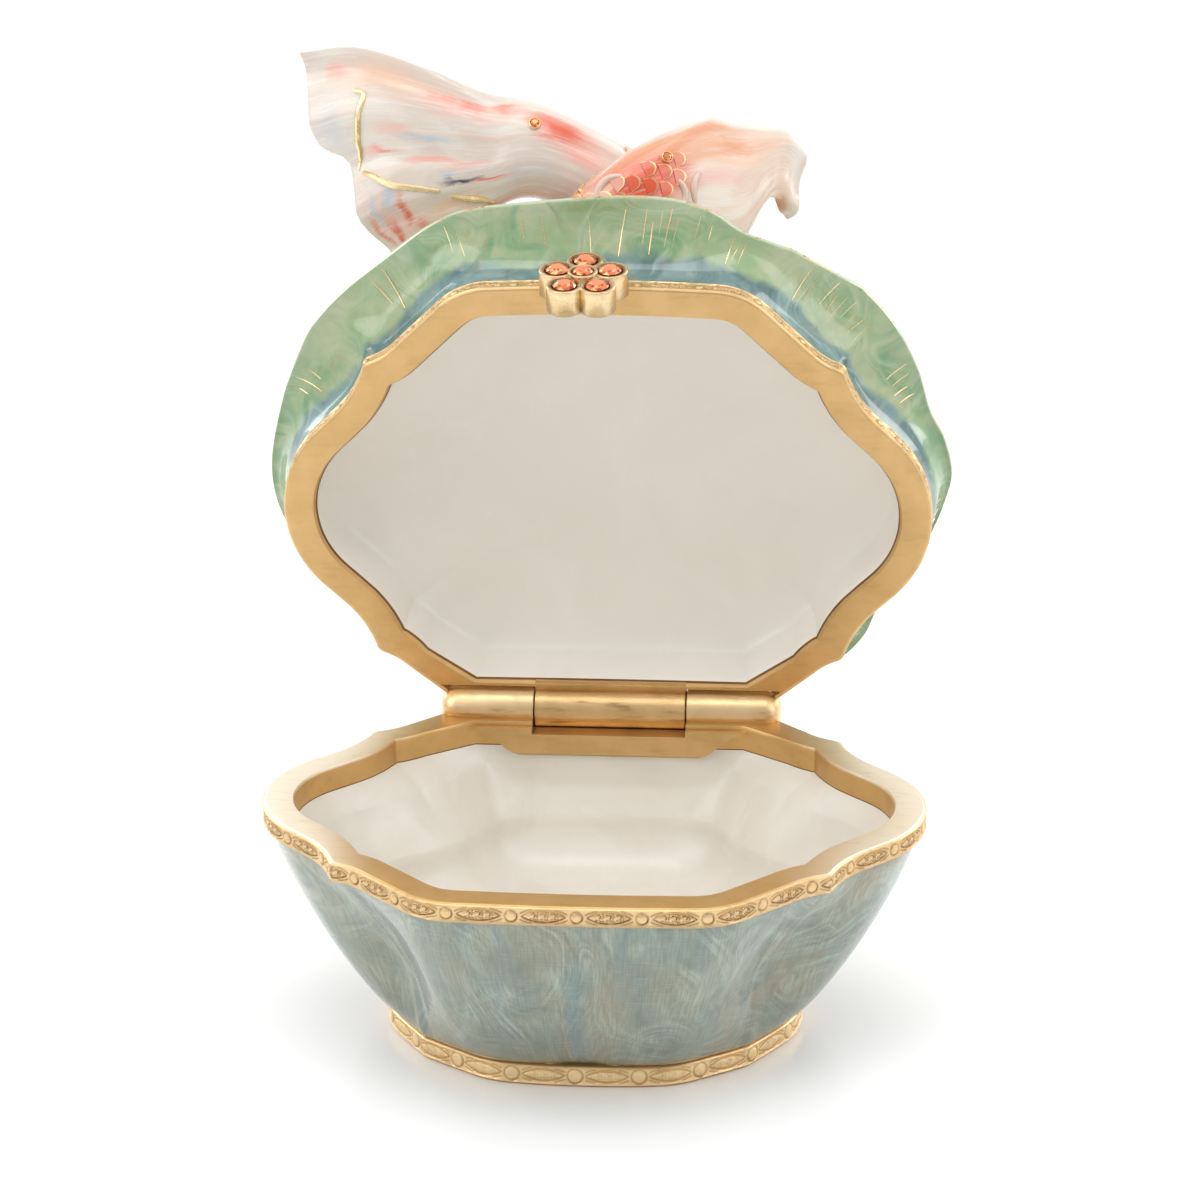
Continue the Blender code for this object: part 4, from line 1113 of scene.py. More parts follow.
def smooth_path(points, count, closed=False):
    """Evenly counted points along a Catmull-Rom curve through the given ones."""
    knots = np.array(points, dtype=float)
    if closed:
        padded = np.vstack([knots[-1], knots, knots[:2]])
    else:
        padded = np.vstack([2 * knots[0] - knots[1], knots, 2 * knots[-1] - knots[-2]])
    spans = len(padded) - 3
    path = []
    for t in np.linspace(0.0, spans, count, endpoint=not closed):
        i = min(int(t), spans - 1)
        u = t - i
        a, b, c, d = padded[i:i + 4]
        path.append(0.5 * (2 * b + (c - a) * u + (2 * a - 5 * b + 4 * c - d) * u * u
                           + (3 * b - a - 3 * c + d) * u ** 3))
    return np.array(path)


def ring_through(points):
    """Distance of a closed smooth line through the points, along each ray."""
    line = smooth_path(points, 400, closed=True)
    angles = np.arctan2(line[:, 1], line[:, 0])
    order = np.argsort(angles)
    return np.interp(ANGLES, angles[order], np.hypot(*line[order].T), period=2.0 * math.pi)


def pad_top(share):
    """Height of the lid's top at a share of the way from its middle to the pad's edge."""
    dip = PAD_EDGE_Z + PAD_EDGE - DOME_DIP
    swell = math.cos(0.5 * math.pi * min(share / DOME_DIP_AT, 1.0)) ** DOME_FULLNESS
    rim = max(0.0, share - DOME_DIP_AT) / (1.0 - DOME_DIP_AT)
    return dip + (DOME_TOP - dip) * swell + DOME_DIP * rim ** 2


PAD = ring_through(PAD_MARGIN)
NECK = np.minimum(cut_back(RIM + WATER_FLARE, LID_SHOULDER_Y + NECK_SHOULDER), PAD - NECK_DRAW)
WATER = cut_back(RIM - WATER_DRAW, LID_SHOULDER_Y - WATER_DRAW)
EDGE_UNDER = PAD - PAD_EDGE_UNDER_DRAW


def flare_ring(share):
    """Underside of the leaf, from 0 at its edge to 1 at the water."""
    bulge_z = PAD_EDGE_Z * 0.5 + WATER_TOP * 0.5 + 2.0 * FLARE_RISE
    radii = EDGE_UNDER * (1.0 - share) + NECK * share
    z = ((1.0 - share) ** 2 * PAD_EDGE_Z + 2.0 * share * (1.0 - share) * bulge_z
         + share ** 2 * WATER_TOP)
    return ring_at(radii, z)


# %% Lid casting
LID_POND, LID_EDGE, LID_GOLD, LID_PEARL, LID_SEAM = 0, 1, 2, 3, 4
FLARE_LEVELS = 10
DOME_LEVELS = 22
DOME_FIRST = 0.04
DOME_LAST = 0.985
EDGE_SWELL = 1.3
WATER_HOLLOW = 0.6
LIP_TURN = 0.25
SEAM_TUCK = 0.02
SEAM_RISE = 0.05


def lid_mesh():
    band = cut_back(RIM, LID_SHOULDER_Y)
    past_ear = (ANGLES - math.atan2(EAR_Y, EAR_X)) / LID_BACK_SPREAD
    past_other = (math.pi - math.atan2(EAR_Y, EAR_X) - ANGLES) / LID_BACK_SPREAD
    thin = np.clip(np.minimum(past_ear, past_other), 0.0, 1.0)
    cavity = inset(RIM, RIM_WIDTH) * (1.0 - thin) + inset(RIM, LID_BACK_RIM) * thin
    cavity = cut_back(cavity, LID_BACK_Y - LID_BACK_WALL)
    rings = [ring_at(PAD * share, pad_top(share))
             for share in np.linspace(DOME_FIRST, DOME_LAST, DOME_LEVELS)]
    zones = [LID_POND] * len(rings)
    turn = np.linspace(0.25, 0.75, 5) * math.pi
    rings += [ring_at(PAD - PAD_EDGE_UNDER_DRAW * (1.0 - math.sin(t)),
                      PAD_EDGE_Z + PAD_EDGE / 2 * (1.0 + EDGE_SWELL * math.cos(t)))
              for t in turn]
    zones += [LID_POND, LID_POND, LID_EDGE, LID_EDGE, LID_POND, LID_POND]
    rings += [flare_ring(share) for share in np.linspace(0.0, 1.0, FLARE_LEVELS)]
    zones += [LID_POND] * (FLARE_LEVELS - 1)
    slope = np.linspace(0.0, 1.0, 6)[1:]
    rings += [ring_at(NECK + (WATER - NECK) * s ** WATER_HOLLOW,
                      WATER_TOP + (LID_BAND_TOP + RIM_STEP - WATER_TOP) * s) for s in slope]
    zones += [LID_POND] * len(slope)
    rim = [ring_at(band, LID_BAND_TOP)] + edge_round(band, GAP + RIM_EDGE, GAP, RIM_EDGE)
    inner = cavity - LID_LIP_DRAW
    lip_z = GAP + LID_LIP_HEIGHT
    rim += [ring_at(cavity, GAP), ring_at(inner + SEAM, lip_z - LIP_TURN)]
    rings += rim + [ring_at(inner - SEAM_TUCK, lip_z + SEAM_RISE)]
    zones += [LID_GOLD] * len(rim) + [LID_SEAM]
    ceiling = smooth_path(CEILING_CURVE, 24)[1:-1]
    rings += [ring_at(inner * share, GAP + LID_CEILING * rise) for share, rise in ceiling]
    zones += [LID_PEARL] * (len(ceiling) + 1)
    return skin("lid_casting", rings, zones, (0.0, 0.0, pad_top(0.0)),
                (0.0, 0.0, GAP + LID_CEILING), swing_open)


def swung(body):
    points, faces = body
    return swing_open(points), faces


lid_casting = finished("lid_casting", lid_mesh(), [pond, leaf_edge, gold, pearl, seam])
lid_notch = swung(block((-LID_NOTCH_END, LID_BACK_Y, -NOTCH_REACH),
                        (LID_NOTCH_END, HINGE_Y + NOTCH_REACH, LID_NOTCH_TOP)))
lug = swung(block((-middle_half, LID_BACK_Y - LUG_SINK, GAP + LUG_LIFT),
                  (middle_half, HINGE_Y, GAP + KNUCKLE_R)))
cut(lid_casting, ("DIFFERENCE", lid_notch), ("UNION", lug))
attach(lid_casting, "lid")
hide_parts("lid")
lid_line = swing_open(ring_at(cut_back(RIM, LID_SHOULDER_Y), GAP + LID_FRIEZE_LIFT))
frieze("lid_rim_frieze", lid_line, LID_BAND_TOP - GAP - LID_FRIEZE_MARGIN, FRIEZE_PITCH,
       turn_open(UP), "lid")

# %% [markdown]
# ## Gold veins of the leaf
#
# Fine gold lines run across the leaf's flare in small groups, and longer ribs fan out over
# its top.  Each is a wire: a line of points on the surface, given a round section by one
# Geometry Nodes tree.  A painted line would do from far off, but a wire catches the light.

# %% Leaf veins
rng = np.random.default_rng(7)


def flare_point(angle, share):
    """Point on the leaf's underside at an angle round the lid."""
    ring = flare_ring(share)
    radius = np.interp(angle, ANGLES, np.hypot(ring[:, 0], ring[:, 1]), period=2 * math.pi)
    return np.array((radius * math.cos(angle), radius * math.sin(angle), ring[0, 2]))


# Middle of each group in degrees round the lid, how many lines it has and how far apart
VEIN_GROUPS = ((-93, 1, 0), (-86.5, 1, 0), (-80, 6, 1.5), (-71, 2, 2.6), (-64, 3, 1.2),
               (-40, 7, 1.6), (-49, 2, 2.0), (-104, 2, 4), (-118, 3, 1.8), (-135, 2, 2.5),
               (-160, 3, 2.0), (-22, 4, 1.8), (4, 3, 2.2), (35, 3, 2.0), (60, 3, 2.0),
               (160, 3, 2.4), (135, 3, 2.0), (110, 3, 2.0))
veins = []
for centre, number, apart in VEIN_GROUPS:
    for k in range(number):
        angle = math.radians(centre + (k - (number - 1) / 2) * apart)
        start, end = rng.uniform(0.08, 0.35), rng.uniform(0.5, 0.95)
        lean = rng.uniform(-0.02, 0.02)
        line = [flare_point(angle + lean * (s - 0.5), s) for s in np.linspace(start, end, 7)]
        width = rng.uniform(0.035, 0.085)
        veins.append((swing_open(line), width * np.sin(np.linspace(0.5, 2.6, 7))))
wires("flare_veins", veins, pale_gold, "lid", sides=6)

RIB_STEP = 22.5
FIRST_RIB = 8.0
RIB_BEND = 0.07
RIB_LIFT = 0.02
ribs = []
for angle in np.radians(np.arange(0, 360, RIB_STEP) + FIRST_RIB):
    reach = np.interp(angle, ANGLES, PAD, period=2 * math.pi)
    shares = np.linspace(0.1, 0.96, 24)
    bend = angle + RIB_BEND * np.sin(shares * 4.0)
    line = [(s * reach * math.cos(a), s * reach * math.sin(a), pad_top(s) + RIB_LIFT)
            for s, a in zip(shares, bend)]
    ribs.append((swing_open(line), np.linspace(0.30, 0.12, 24)))
wires("leaf_ribs", ribs, pale_gold, "lid")

# %% [markdown]
# ## Two koi
#
# A koi is described by a dozen stations: a point of its back line, a point of its belly line
# and half its thickness there.  A smooth path through the stations gives oval rings, and
# towards the tail the ovals grow tall and thin, so body and tail are one skin.  The tail is
# pleated, its trailing edge waves, and fine rays run out to it.  Sculpting by hand would
# give the same result, but stations keep both fish easy to bend again.

# %% Koi stations
WHITE_STATIONS = (
    ((0.5, 17.3, 17.5), (0.5, 17.3, 13.8), 1.8),
    ((6.0, 13.8, 20.0), (6.0, 12.6, 12.4), 3.4),
    ((10.8, 7.0, 21.0), (9.8, 6.6, 11.4), 4.0),
    ((13.0, -1.5, 21.6), (11.6, -1.6, 11.6), 4.1),
    ((13.2, -10.5, 22.6), (11.0, -9.6, 12.6), 4.0),
    ((9.6, -20.5, 24.6), (6.4, -17.2, 15.6), 3.9),
    ((2.2, -30.7, 25.2), (-0.4, -24.6, 18.0), 3.7),
    ((-7.8, -37.0, 25.0), (-8.2, -28.8, 18.8), 3.6),
    ((-14.0, -38.8, 24.2), (-13.6, -27.6, 18.0), 2.2),
    ((-20.5, -41.7, 24.2), (-18.0, -25.6, 17.4), 1.2),
    ((-28.0, -43.7, 25.0), (-22.2, -23.0, 17.0), 0.9),
    ((-34.2, -42.6, 26.0), (-25.0, -20.0, 16.8), 0.7),
)
ORANGE_STATIONS = (
    ((-4.0, 18.5, 15.6), (-4.0, 18.5, 12.8), 1.6),
    ((-9.3, 15.2, 18.2), (-9.3, 14.4, 11.4), 3.3),
    ((-14.6, 8.6, 19.0), (-13.6, 8.2, 10.4), 3.8),
    ((-17.2, 0.0, 19.4), (-15.8, 0.0, 10.2), 3.9),
    ((-16.6, -9.0, 18.8), (-15.2, -8.4, 10.0), 3.8),
    ((-12.0, -19.0, 17.6), (-9.8, -16.0, 10.0), 3.6),
    ((-5.0, -29.5, 15.6), (-3.0, -22.0, 10.4), 3.6),
    ((2.0, -35.0, 18.0), (3.6, -26.0, 11.4), 2.8),
    ((9.5, -37.0, 22.0), (9.0, -25.0, 13.0), 1.5),
    ((14.5, -35.6, 24.4), (13.4, -25.0, 14.6), 1.0),
    ((18.6, -34.1, 25.8), (16.7, -28.8, 19.6), 1.1),
    ((20.0, -32.6, 25.6), (18.0, -26.2, 21.8), 1.2),
)
# How far the tail's edge stands out, against the share of the way from back to belly line
WHITE_TAIL_EDGE = ((0.0, 0.0), (0.36, 1.6), (0.5, -0.7), (0.75, 0.0), (0.9, -1.5), (1.0, -1.0))
ORANGE_TAIL_EDGE = ((0.0, -0.2), (0.5, 0.7), (0.85, 1.2), (1.0, 0.8))
WHITE_PLEATS = (2.5, 0.7)
ORANGE_PLEATS = (1.5, 0.4)
# How many small folds the tail has, how deep they are and how thick its edge is rounded
WHITE_FOLDS = (7.0, 0.14, 0.2)
ORANGE_FOLDS = (3.0, 0.05, 0.8)
KOI_LEVELS = 170
KOI_SIDES = 96
TAIL_START = 0.66
TAIL_RAYS, RAY_DEPTH = 26.0, 0.035
TAIL_END_RINGS = 6
BACK_FIN_FROM = 0.24
BACK_FIN_TO = 0.56
BACK_FIN_HEIGHT = 2.6
BACK_FIN_STEEP = 6.0
BACK_FIN_HALF_ANGLE = math.radians(7.0)
BACK_FIN_SPINES = 11
NOSE = 1.3
NOSE_RINGS = 7


def unit(vectors):
    return vectors / np.linalg.norm(vectors, axis=-1, keepdims=True)


def koi_path(stations):
    path = smooth_path([(*back, *belly, half) for back, belly, half in stations], KOI_LEVELS)
    return path, unit(np.gradient((path[:, 0:3] + path[:, 3:6]) / 2.0, axis=0))


def koi_skin(stations, tail_edge, pleats, folds):
    """Grid of points and of their places on the fish: along, down from the back, side."""
    path, ahead = koi_path(stations)
    even = 2.0 * math.pi * np.arange(KOI_SIDES) / KOI_SIDES
    turn = even - 0.5 * np.sin(even)
    down, side = (1.0 - np.cos(turn)) / 2.0, np.sin(turn)
    from_back = np.minimum(turn, 2.0 * math.pi - turn)
    blade = np.exp(-(from_back / BACK_FIN_HALF_ANGLE) ** 2)
    edge = smooth_path(tail_edge, 60)
    rows, places = [], []
    for share, row, way in zip(np.linspace(0.0, 1.0, KOI_LEVELS), path, ahead):
        half = (row[0:3] - row[3:6]) / 2.0
        across = unit(np.cross(way, half))
        tail = max(0.0, (share - TAIL_START) / (1.0 - TAIL_START))
        bend = pleats[1] * tail * np.sin(2.0 * math.pi * pleats[0] * down)
        bend += folds[1] * tail * np.sin(2.0 * math.pi * (folds[0] * down + 0.8 * tail))
        ray = RAY_DEPTH * min(1.0, 2.5 * tail) * np.cos(2.0 * math.pi * TAIL_RAYS * down)
        out = np.interp(down, edge[:, 0], edge[:, 1]) * tail ** 2
        ring = (row[0:3] + row[3:6]) / 2.0 + half * np.cos(turn)[:, None]
        ring = ring + across * ((row[6] + ray) * side + bend)[:, None] + way * out[:, None]
        if BACK_FIN_FROM < share < BACK_FIN_TO:
            along = (share - BACK_FIN_FROM) / (BACK_FIN_TO - BACK_FIN_FROM)
            rise = BACK_FIN_HEIGHT * math.sqrt(1.0 - along) * min(1.0, along * BACK_FIN_STEEP)
            rise *= 0.86 + 0.14 * abs(math.cos(math.pi * BACK_FIN_SPINES * along))
            ring = ring + unit(half) * (rise * blade)[:, None]
        rows.append(ring)
        places.append(np.column_stack([np.full(KOI_SIDES, share), down, side]))
    centre, tip = rows[0].mean(axis=0), []
    for t in np.linspace(1.0, 0.1, NOSE_RINGS) * math.pi / 2.0 * 0.98:
        tip.append(centre + (rows[0] - centre) * math.cos(t) - ahead[0] * NOSE * math.sin(t))
    end = rows[-1]
    middle = (end + np.roll(end[::-1], 1, axis=0)) / 2.0
    close = [middle + (end - middle) * math.cos(t) + ahead[-1] * folds[2] * math.sin(t)
             for t in np.linspace(0.0, 0.47 * math.pi, TAIL_END_RINGS + 1)[1:]]
    points = np.array(tip + rows + close)
    places = np.array([places[0]] * NOSE_RINGS + places + [places[-1]] * TAIL_END_RINGS)
    return points, places


def tube_faces(levels, sides, first=0):
    """Faces of a tube through rings, closed at both ends straight across."""
    faces = []
    for row in range(levels - 1):
        a, b = first + row * sides, first + (row + 1) * sides
        for i in range(sides):
            j = (i + 1) % sides
            faces.append((a + i, a + j, b + j, b + i))
    for a in (first, first + (levels - 1) * sides):
        faces.append((a, a + 1, a + sides - 1))
        for k in range(1, sides // 2 - 1):
            faces.append((a + k, a + k + 1, a + sides - k - 1, a + sides - k))
        h = a + sides // 2
        faces.append((h - 1, h, h + 1))
    return faces


# %% Side fins
SIDE_FIN_AT = 0.2
SIDE_FIN_LENGTH = 7.0
SIDE_FIN_SWEEP = 4.5
SIDE_FIN_DROP = 0.8
SIDE_FIN_ROOT = 2.2
SIDE_FIN_TIP = 3.6
SIDE_FIN_THICK = 0.7
SIDE_FIN_THINNING = 0.4
SIDE_FIN_SINK = 1.6
SIDE_FIN_LOW = 0.65
FIN_LEVELS, FIN_SIDES, FIN_RAYS = 30, 64, 9.0


def side_fin(stations, side):
    """Swept blade standing out of one flank: grid of points and places."""
    path, ahead = koi_path(stations)
    at = round(SIDE_FIN_AT * (KOI_LEVELS - 1))
    row, way = path[at], ahead[at]
    outward = side * unit(np.cross(way, row[0:3] - row[3:6]))
    root = row[0:3] * (1.0 - SIDE_FIN_LOW) + row[3:6] * SIDE_FIN_LOW
    root = root + outward * (row[6] - SIDE_FIN_SINK)
    turn = 2.0 * math.pi * np.arange(FIN_SIDES) / FIN_SIDES
    reach = (1.0 - np.cos(turn)) / 2.0
    rows, places = [], []
    for share in np.linspace(0.0, 1.0, FIN_LEVELS):
        middle = root + outward * (SIDE_FIN_LENGTH + SIDE_FIN_SINK) * share
        middle = middle + way * SIDE_FIN_SWEEP * share - np.array((0, 0, SIDE_FIN_DROP * share))
        half = -way * (SIDE_FIN_ROOT + (SIDE_FIN_TIP - SIDE_FIN_ROOT) * share)
        across = unit(np.cross(outward, half))
        thick = SIDE_FIN_THICK * (1.0 - SIDE_FIN_THINNING * share)
        thick = thick * (1.0 + 0.13 * share * np.cos(2.0 * math.pi * FIN_RAYS * reach))
        scallop = share ** 3 * (0.25 * np.abs(np.cos(math.pi * FIN_RAYS * reach))
                                - 0.9 * np.cos(turn) ** 4)
        ring = middle + half * np.cos(turn)[:, None]
        ring = ring + across * (thick * np.sin(turn))[:, None] + outward * scallop[:, None]
        rows.append(ring)
        places.append(np.column_stack([np.full(FIN_SIDES, 1.0 + share), reach, np.sin(turn)]))
    return np.array(rows), np.array(places)


def koi_mesh(name, parts):
    points, places, faces = [], [], []
    for rows, spots in parts:
        first = sum(len(p) for p in points)
        faces += tube_faces(len(rows), rows.shape[1], first)
        points.append(rows.reshape(-1, 3))
        places.append(spots.reshape(-1, 3))
    mesh = closed_mesh(name, swing_open(np.vstack(points)), faces, [0] * len(faces))
    store_vectors(mesh, "swim", np.vstack(places))
    return mesh


# %% [markdown]
# ## Koi enamel
#
# Each fish is painted over a pale ground: streaks that run out along the tail, then dabs of
# colour laid one over another, each an ellipse with a ragged border placed by its share of
# the way along and down the fish, and last fine white hairs that let the dabs fade into the
# ground.  Painting by nodes in the fish's own measure keeps every
# dab on its fold when the fish is bent.  A `gilt` value on the points turns enamel to gold,
# which gives the scales their thin bright edges.

# %% Koi enamel


def dab(tree, place, under, colour, at, size, slant=0.0, strength=1.0):
    """Ragged ellipse of colour over what is painted so far."""
    spot = add(tree, "ShaderNodeMapping", {"Vector": place, "Location": (*at, 0.0),
               "Rotation": (0.0, 0.0, math.radians(slant)), "Scale": (*size, 1000.0)},
               vector_type="TEXTURE").outputs[0]
    reach = add(tree, "ShaderNodeVectorMath", {0: spot}, operation="LENGTH").outputs["Value"]
    return blend(tree, ramp(tree, reach, 0.1, 1.35, strength, 0.0), under, colour)


def koi_enamel(name, ground, shade, streak, paleness, dabs):
    material, tree, shader = new_material(name, IOR=1.5, Coat_Weight=0.6, Coat_Roughness=0.08)
    swim = attribute(tree, "swim")
    drift = add(tree, "ShaderNodeTexNoise", {"Vector": add(tree, "ShaderNodeVectorMath",
                {0: swim, 1: (14.0, 9.0, 1.0)}, operation="MULTIPLY").outputs[0],
                "Scale": 1.0, "Detail": 4.0, "Roughness": 0.65}).outputs["Color"]
    place = add(tree, "ShaderNodeVectorMath", {0: drift, 1: (0.06, 0.16, 0.0), 2: swim},
                operation="MULTIPLY_ADD").outputs[0]
    place = add(tree, "ShaderNodeVectorMath", {0: place, 1: (-0.03, -0.08, 0.0)},
                operation="ADD").outputs[0]
    hairs = vary(tree, swim, 1.0, 4.0, 0.65, stretch=(5.0, 26.0, 1.5), distortion=0.5)
    clouds = vary(tree, swim, 1.0, 3.0, 0.55, stretch=(7.0, 4.0, 1.0), distortion=0.6)
    colour = blend(tree, ramp(tree, clouds, 0.38, 0.62), ground, shade)
    colour = blend(tree, ramp(tree, hairs, 0.5, 0.7, 0.0, 0.5), colour, streak)
    for details in dabs:
        colour = dab(tree, place, colour, *details)
    pale = vary(tree, moved(tree, swim, (3.0, 2.0, 0.0)), 1.0, 4.0, 0.7,
                stretch=(9.0, 34.0, 1.5), distortion=0.8)
    colour = blend(tree, ramp(tree, pale, 0.5, 0.66, 0.0, paleness), colour, WHITE)
    gilt = attribute(tree, "gilt", "Fac")
    colour = blend(tree, gilt, colour, GILT)
    paint(tree, shader, Base_Color=colour, Metallic=gilt,
          Roughness=ramp(tree, hairs, 0.3, 0.7, 0.20, 0.34), Normal=relief(tree, hairs, 0.02))
    return material


CORAL, ROSE, PEACH = (0.70, 0.17, 0.10), (0.82, 0.42, 0.35), (0.82, 0.54, 0.39)
AMBER, MIST, INK = (0.72, 0.34, 0.19), (0.46, 0.52, 0.62), (0.02, 0.025, 0.06)
RED_ORANGE, WHITE, GILT = (0.70, 0.085, 0.02), (0.84, 0.80, 0.74), (0.80, 0.53, 0.24)
# Each dab: colour, middle (along, down), half size, turn in degrees, strength
white_koi = koi_enamel("koi_white_enamel", (0.73, 0.67, 0.59), (0.66, 0.57, 0.50),
                       (0.76, 0.54, 0.45), 0.4, (
    (PEACH, (0.87, 0.13), (0.10, 0.10), -20.0, 0.9), (ROSE, (0.947, 0.09), (0.02, 0.05)),
    (ROSE, (0.76, 0.19), (0.07, 0.09), 0.0, 0.9), (CORAL, (0.745, 0.165), (0.03, 0.04)),
    (CORAL, (0.79, 0.16), (0.02, 0.03), 0.0, 0.7), (ROSE, (0.70, 0.17), (0.04, 0.09)),
    (CORAL, (0.70, 0.13), (0.022, 0.04), 0.0, 0.8), (CORAL, (0.618, 0.30), (0.04, 0.20)),
    (CORAL, (0.645, 0.22), (0.03, 0.10), 0.0, 0.8), (ROSE, (0.595, 0.5), (0.03, 0.12)),
    (RED_ORANGE, (0.612, 0.27), (0.016, 0.10), 0.0, 0.7), (CORAL, (0.46, 0.08), (0.09, 0.3)),
    (CORAL, (0.30, 0.12), (0.07, 0.36)), (CORAL, (0.09, 0.10), (0.06, 0.34)),
    (ROSE, (0.87, 0.39), (0.04, 0.06), 0.0, 0.5), (ROSE, (0.917, 0.50), (0.03, 0.04), 60.0),
    (CORAL, (0.91, 0.505), (0.014, 0.02), 60.0, 0.5), (ROSE, (0.83, 0.56), (0.06, 0.025)),
    (ROSE, (0.76, 0.60), (0.06, 0.03), 20.0, 0.8), (ROSE, (0.72, 0.40), (0.08, 0.04), 0.0, 0.3),
    (MIST, (0.828, 0.43), (0.05, 0.025), 0.0, 0.8), (MIST, (0.805, 0.665), (0.016, 0.024)),
    # Painted shade: the grey mist dab at along 0.97, down 0.33 greys the tail's rear layer behind
    # the first gold fold.
    (MIST, (0.97, 0.33), (0.03, 0.12), 0.0, 0.45), (MIST, (0.66, 0.75), (0.05, 0.08), 0.0, 0.4),
    (ROSE, (0.92, 0.84), (0.08, 0.14), 0.0, 0.55), (CORAL, (0.90, 0.80), (0.012, 0.10)),
    (CORAL, (0.94, 0.90), (0.012, 0.10)), (CORAL, (0.975, 0.84), (0.010, 0.10), 0.0, 0.8),
    (MIST, (0.92, 0.72), (0.014, 0.06), 0.0, 0.8), (CORAL, (0.875, 0.88), (0.02, 0.05), 0.0, 0.7),
    (MIST, (0.955, 0.76), (0.01, 0.08), 0.0, 0.7), (PEACH, (0.80, 0.86), (0.06, 0.06)),
    (INK, (0.776, 0.725), (0.048, 0.024)), (INK, (0.805, 0.69), (0.012, 0.014), 0.0, 0.6),
    (RED_ORANGE, (0.722, 0.745), (0.034, 0.022)), (ROSE, (0.70, 0.76), (0.05, 0.03), 0.0, 0.6),
))
orange_koi = koi_enamel("koi_orange_enamel", (0.74, 0.65, 0.56), (0.68, 0.52, 0.41),
                        (0.76, 0.49, 0.34), 0.25, (
    (PEACH, (0.74, 0.22), (0.16, 0.20)), (AMBER, (0.64, 0.14), (0.12, 0.2)),
    (AMBER, (0.77, 0.24), (0.10, 0.10)), (AMBER, (0.70, 0.10), (0.10, 0.06)),
    (ROSE, (0.75, 0.45), (0.08, 0.07), 0.0, 0.6), (PEACH, (0.81, 0.33), (0.06, 0.05)),
    (RED_ORANGE, (0.50, 0.40), (0.15, 0.5)), (RED_ORANGE, (0.28, 0.30), (0.2, 0.6)),
    (PEACH, (0.59, 0.36), (0.03, 0.24)), (RED_ORANGE, (0.655, 0.42), (0.06, 0.26)),
    (RED_ORANGE, (0.65, 0.38), (0.05, 0.2)), (RED_ORANGE, (0.645, 0.42), (0.04, 0.14)),
    (CORAL, (0.08, 0.15), (0.09, 0.4)), (WHITE, (0.80, 0.0), (0.16, 0.07)),
    (WHITE, (0.40, 1.0), (0.4, 0.2)), (PEACH, (0.94, 0.97), (0.05, 0.14)),
    (AMBER, (0.95, 1.0), (0.03, 0.08)), (WHITE, (0.95, 0.25), (0.05, 0.3), 0.0, 0.8),
))

# %% Koi pieces
white_skin = koi_skin(WHITE_STATIONS, WHITE_TAIL_EDGE, WHITE_PLEATS, WHITE_FOLDS)
orange_skin = koi_skin(ORANGE_STATIONS, ORANGE_TAIL_EDGE, ORANGE_PLEATS, ORANGE_FOLDS)


def koi_piece(name, skin_and_places, stations, material):
    parts = [skin_and_places, side_fin(stations, -1), side_fin(stations, 1)]
    koi = finished(name, koi_mesh(name, parts), [material], 60.0)
    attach(koi, "lid")
    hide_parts(name)
    print(name, "faces:", len(koi.data.polygons))


koi_piece("koi_white", white_skin, WHITE_STATIONS, white_koi)
koi_piece("koi_orange", orange_skin, ORANGE_STATIONS, orange_koi)

# %% [markdown]
# ## Scales, stones and eyes
#
# Scales stand on the skin one by one: a guide mesh carries a point for each, with the way it
# faces, the way to the tail and its size, and the setting tree puts a copy on every point.
# Rows are staggered like roof tiles.  The same tree sets the small stones and the eyes.

# %% Places on a koi
KOI_TURN = 2.0 * math.pi * np.arange(KOI_SIDES + 1) / KOI_SIDES
KOI_TURN = KOI_TURN - 0.5 * np.sin(KOI_TURN)


def on_koi(koi_rows, along, down, side, lift=0.0):
    """Points, outward directions and ways to the tail at places on a koi's skin."""
    rows = koi_rows[NOSE_RINGS:-TAIL_END_RINGS]
    turn = np.arccos(1.0 - 2.0 * np.asarray(down, dtype=float))
    turn = np.where(np.asarray(side) < 0, 2.0 * math.pi - turn, turn)
    column = np.interp(turn, KOI_TURN, np.arange(KOI_SIDES + 1))
    level = np.asarray(along, dtype=float) * (KOI_LEVELS - 1)

    def at(lev, col):
        lev = np.clip(lev, 0.0, KOI_LEVELS - 1.001)
        a, b = lev.astype(int), np.floor(col).astype(int)
        u, v = (lev - a)[:, None], (col - b)[:, None]
        b, c = b % KOI_SIDES, (b + 1) % KOI_SIDES
        return ((rows[a, b] * (1 - v) + rows[a, c] * v) * (1 - u)
                + (rows[a + 1, b] * (1 - v) + rows[a + 1, c] * v) * u)

    level, column = np.atleast_1d(level), np.atleast_1d(column)
    spot = at(level, column)
    way = unit(at(level + 1.0, column) - at(level - 1.0, column))
    out = unit(np.cross(at(level, column + 0.7) - at(level, column - 0.7), way))
    middle = rows[np.clip(level, 0, KOI_LEVELS - 1).astype(int)].mean(axis=1)
    out = out * np.sign(((spot - middle) * out).sum(axis=1))[:, None]
    return spot + out * lift, out, way


def settings(name, jewel, spots, sizes, material, slot, swim=None, smooth_angle=40.0):
    """Copies of a jewel mesh at spots, which are points, outward directions and ways."""
    points, facing, ahead = spots
    guide = bpy.data.meshes.new(name)
    guide.from_pydata((swing_open(points) * MM).tolist(), [], [])
    store_vectors(guide, "facing", turn_open(facing))
    store_vectors(guide, "ahead", turn_open(ahead))
    store_vectors(guide, "size", np.repeat(np.asarray(sizes, dtype=float)[:, None], 3, axis=1))
    if swim is not None:
        store_vectors(guide, "swim", swim)
    model = bpy.data.objects.new(name + "_model", jewel)
    bpy.context.scene.collection.objects.link(model)
    return grow(name, SETTING_TREE, guide, {"Jewel": model, "Material": material}, "lid",
                smooth_angle)


# %% Scales
SCALE_WIDTH = 2.1
SCALE_STEP = 1.55
SCALE_OVERLAP = 0.93
FIRST_SCALE = 0.62


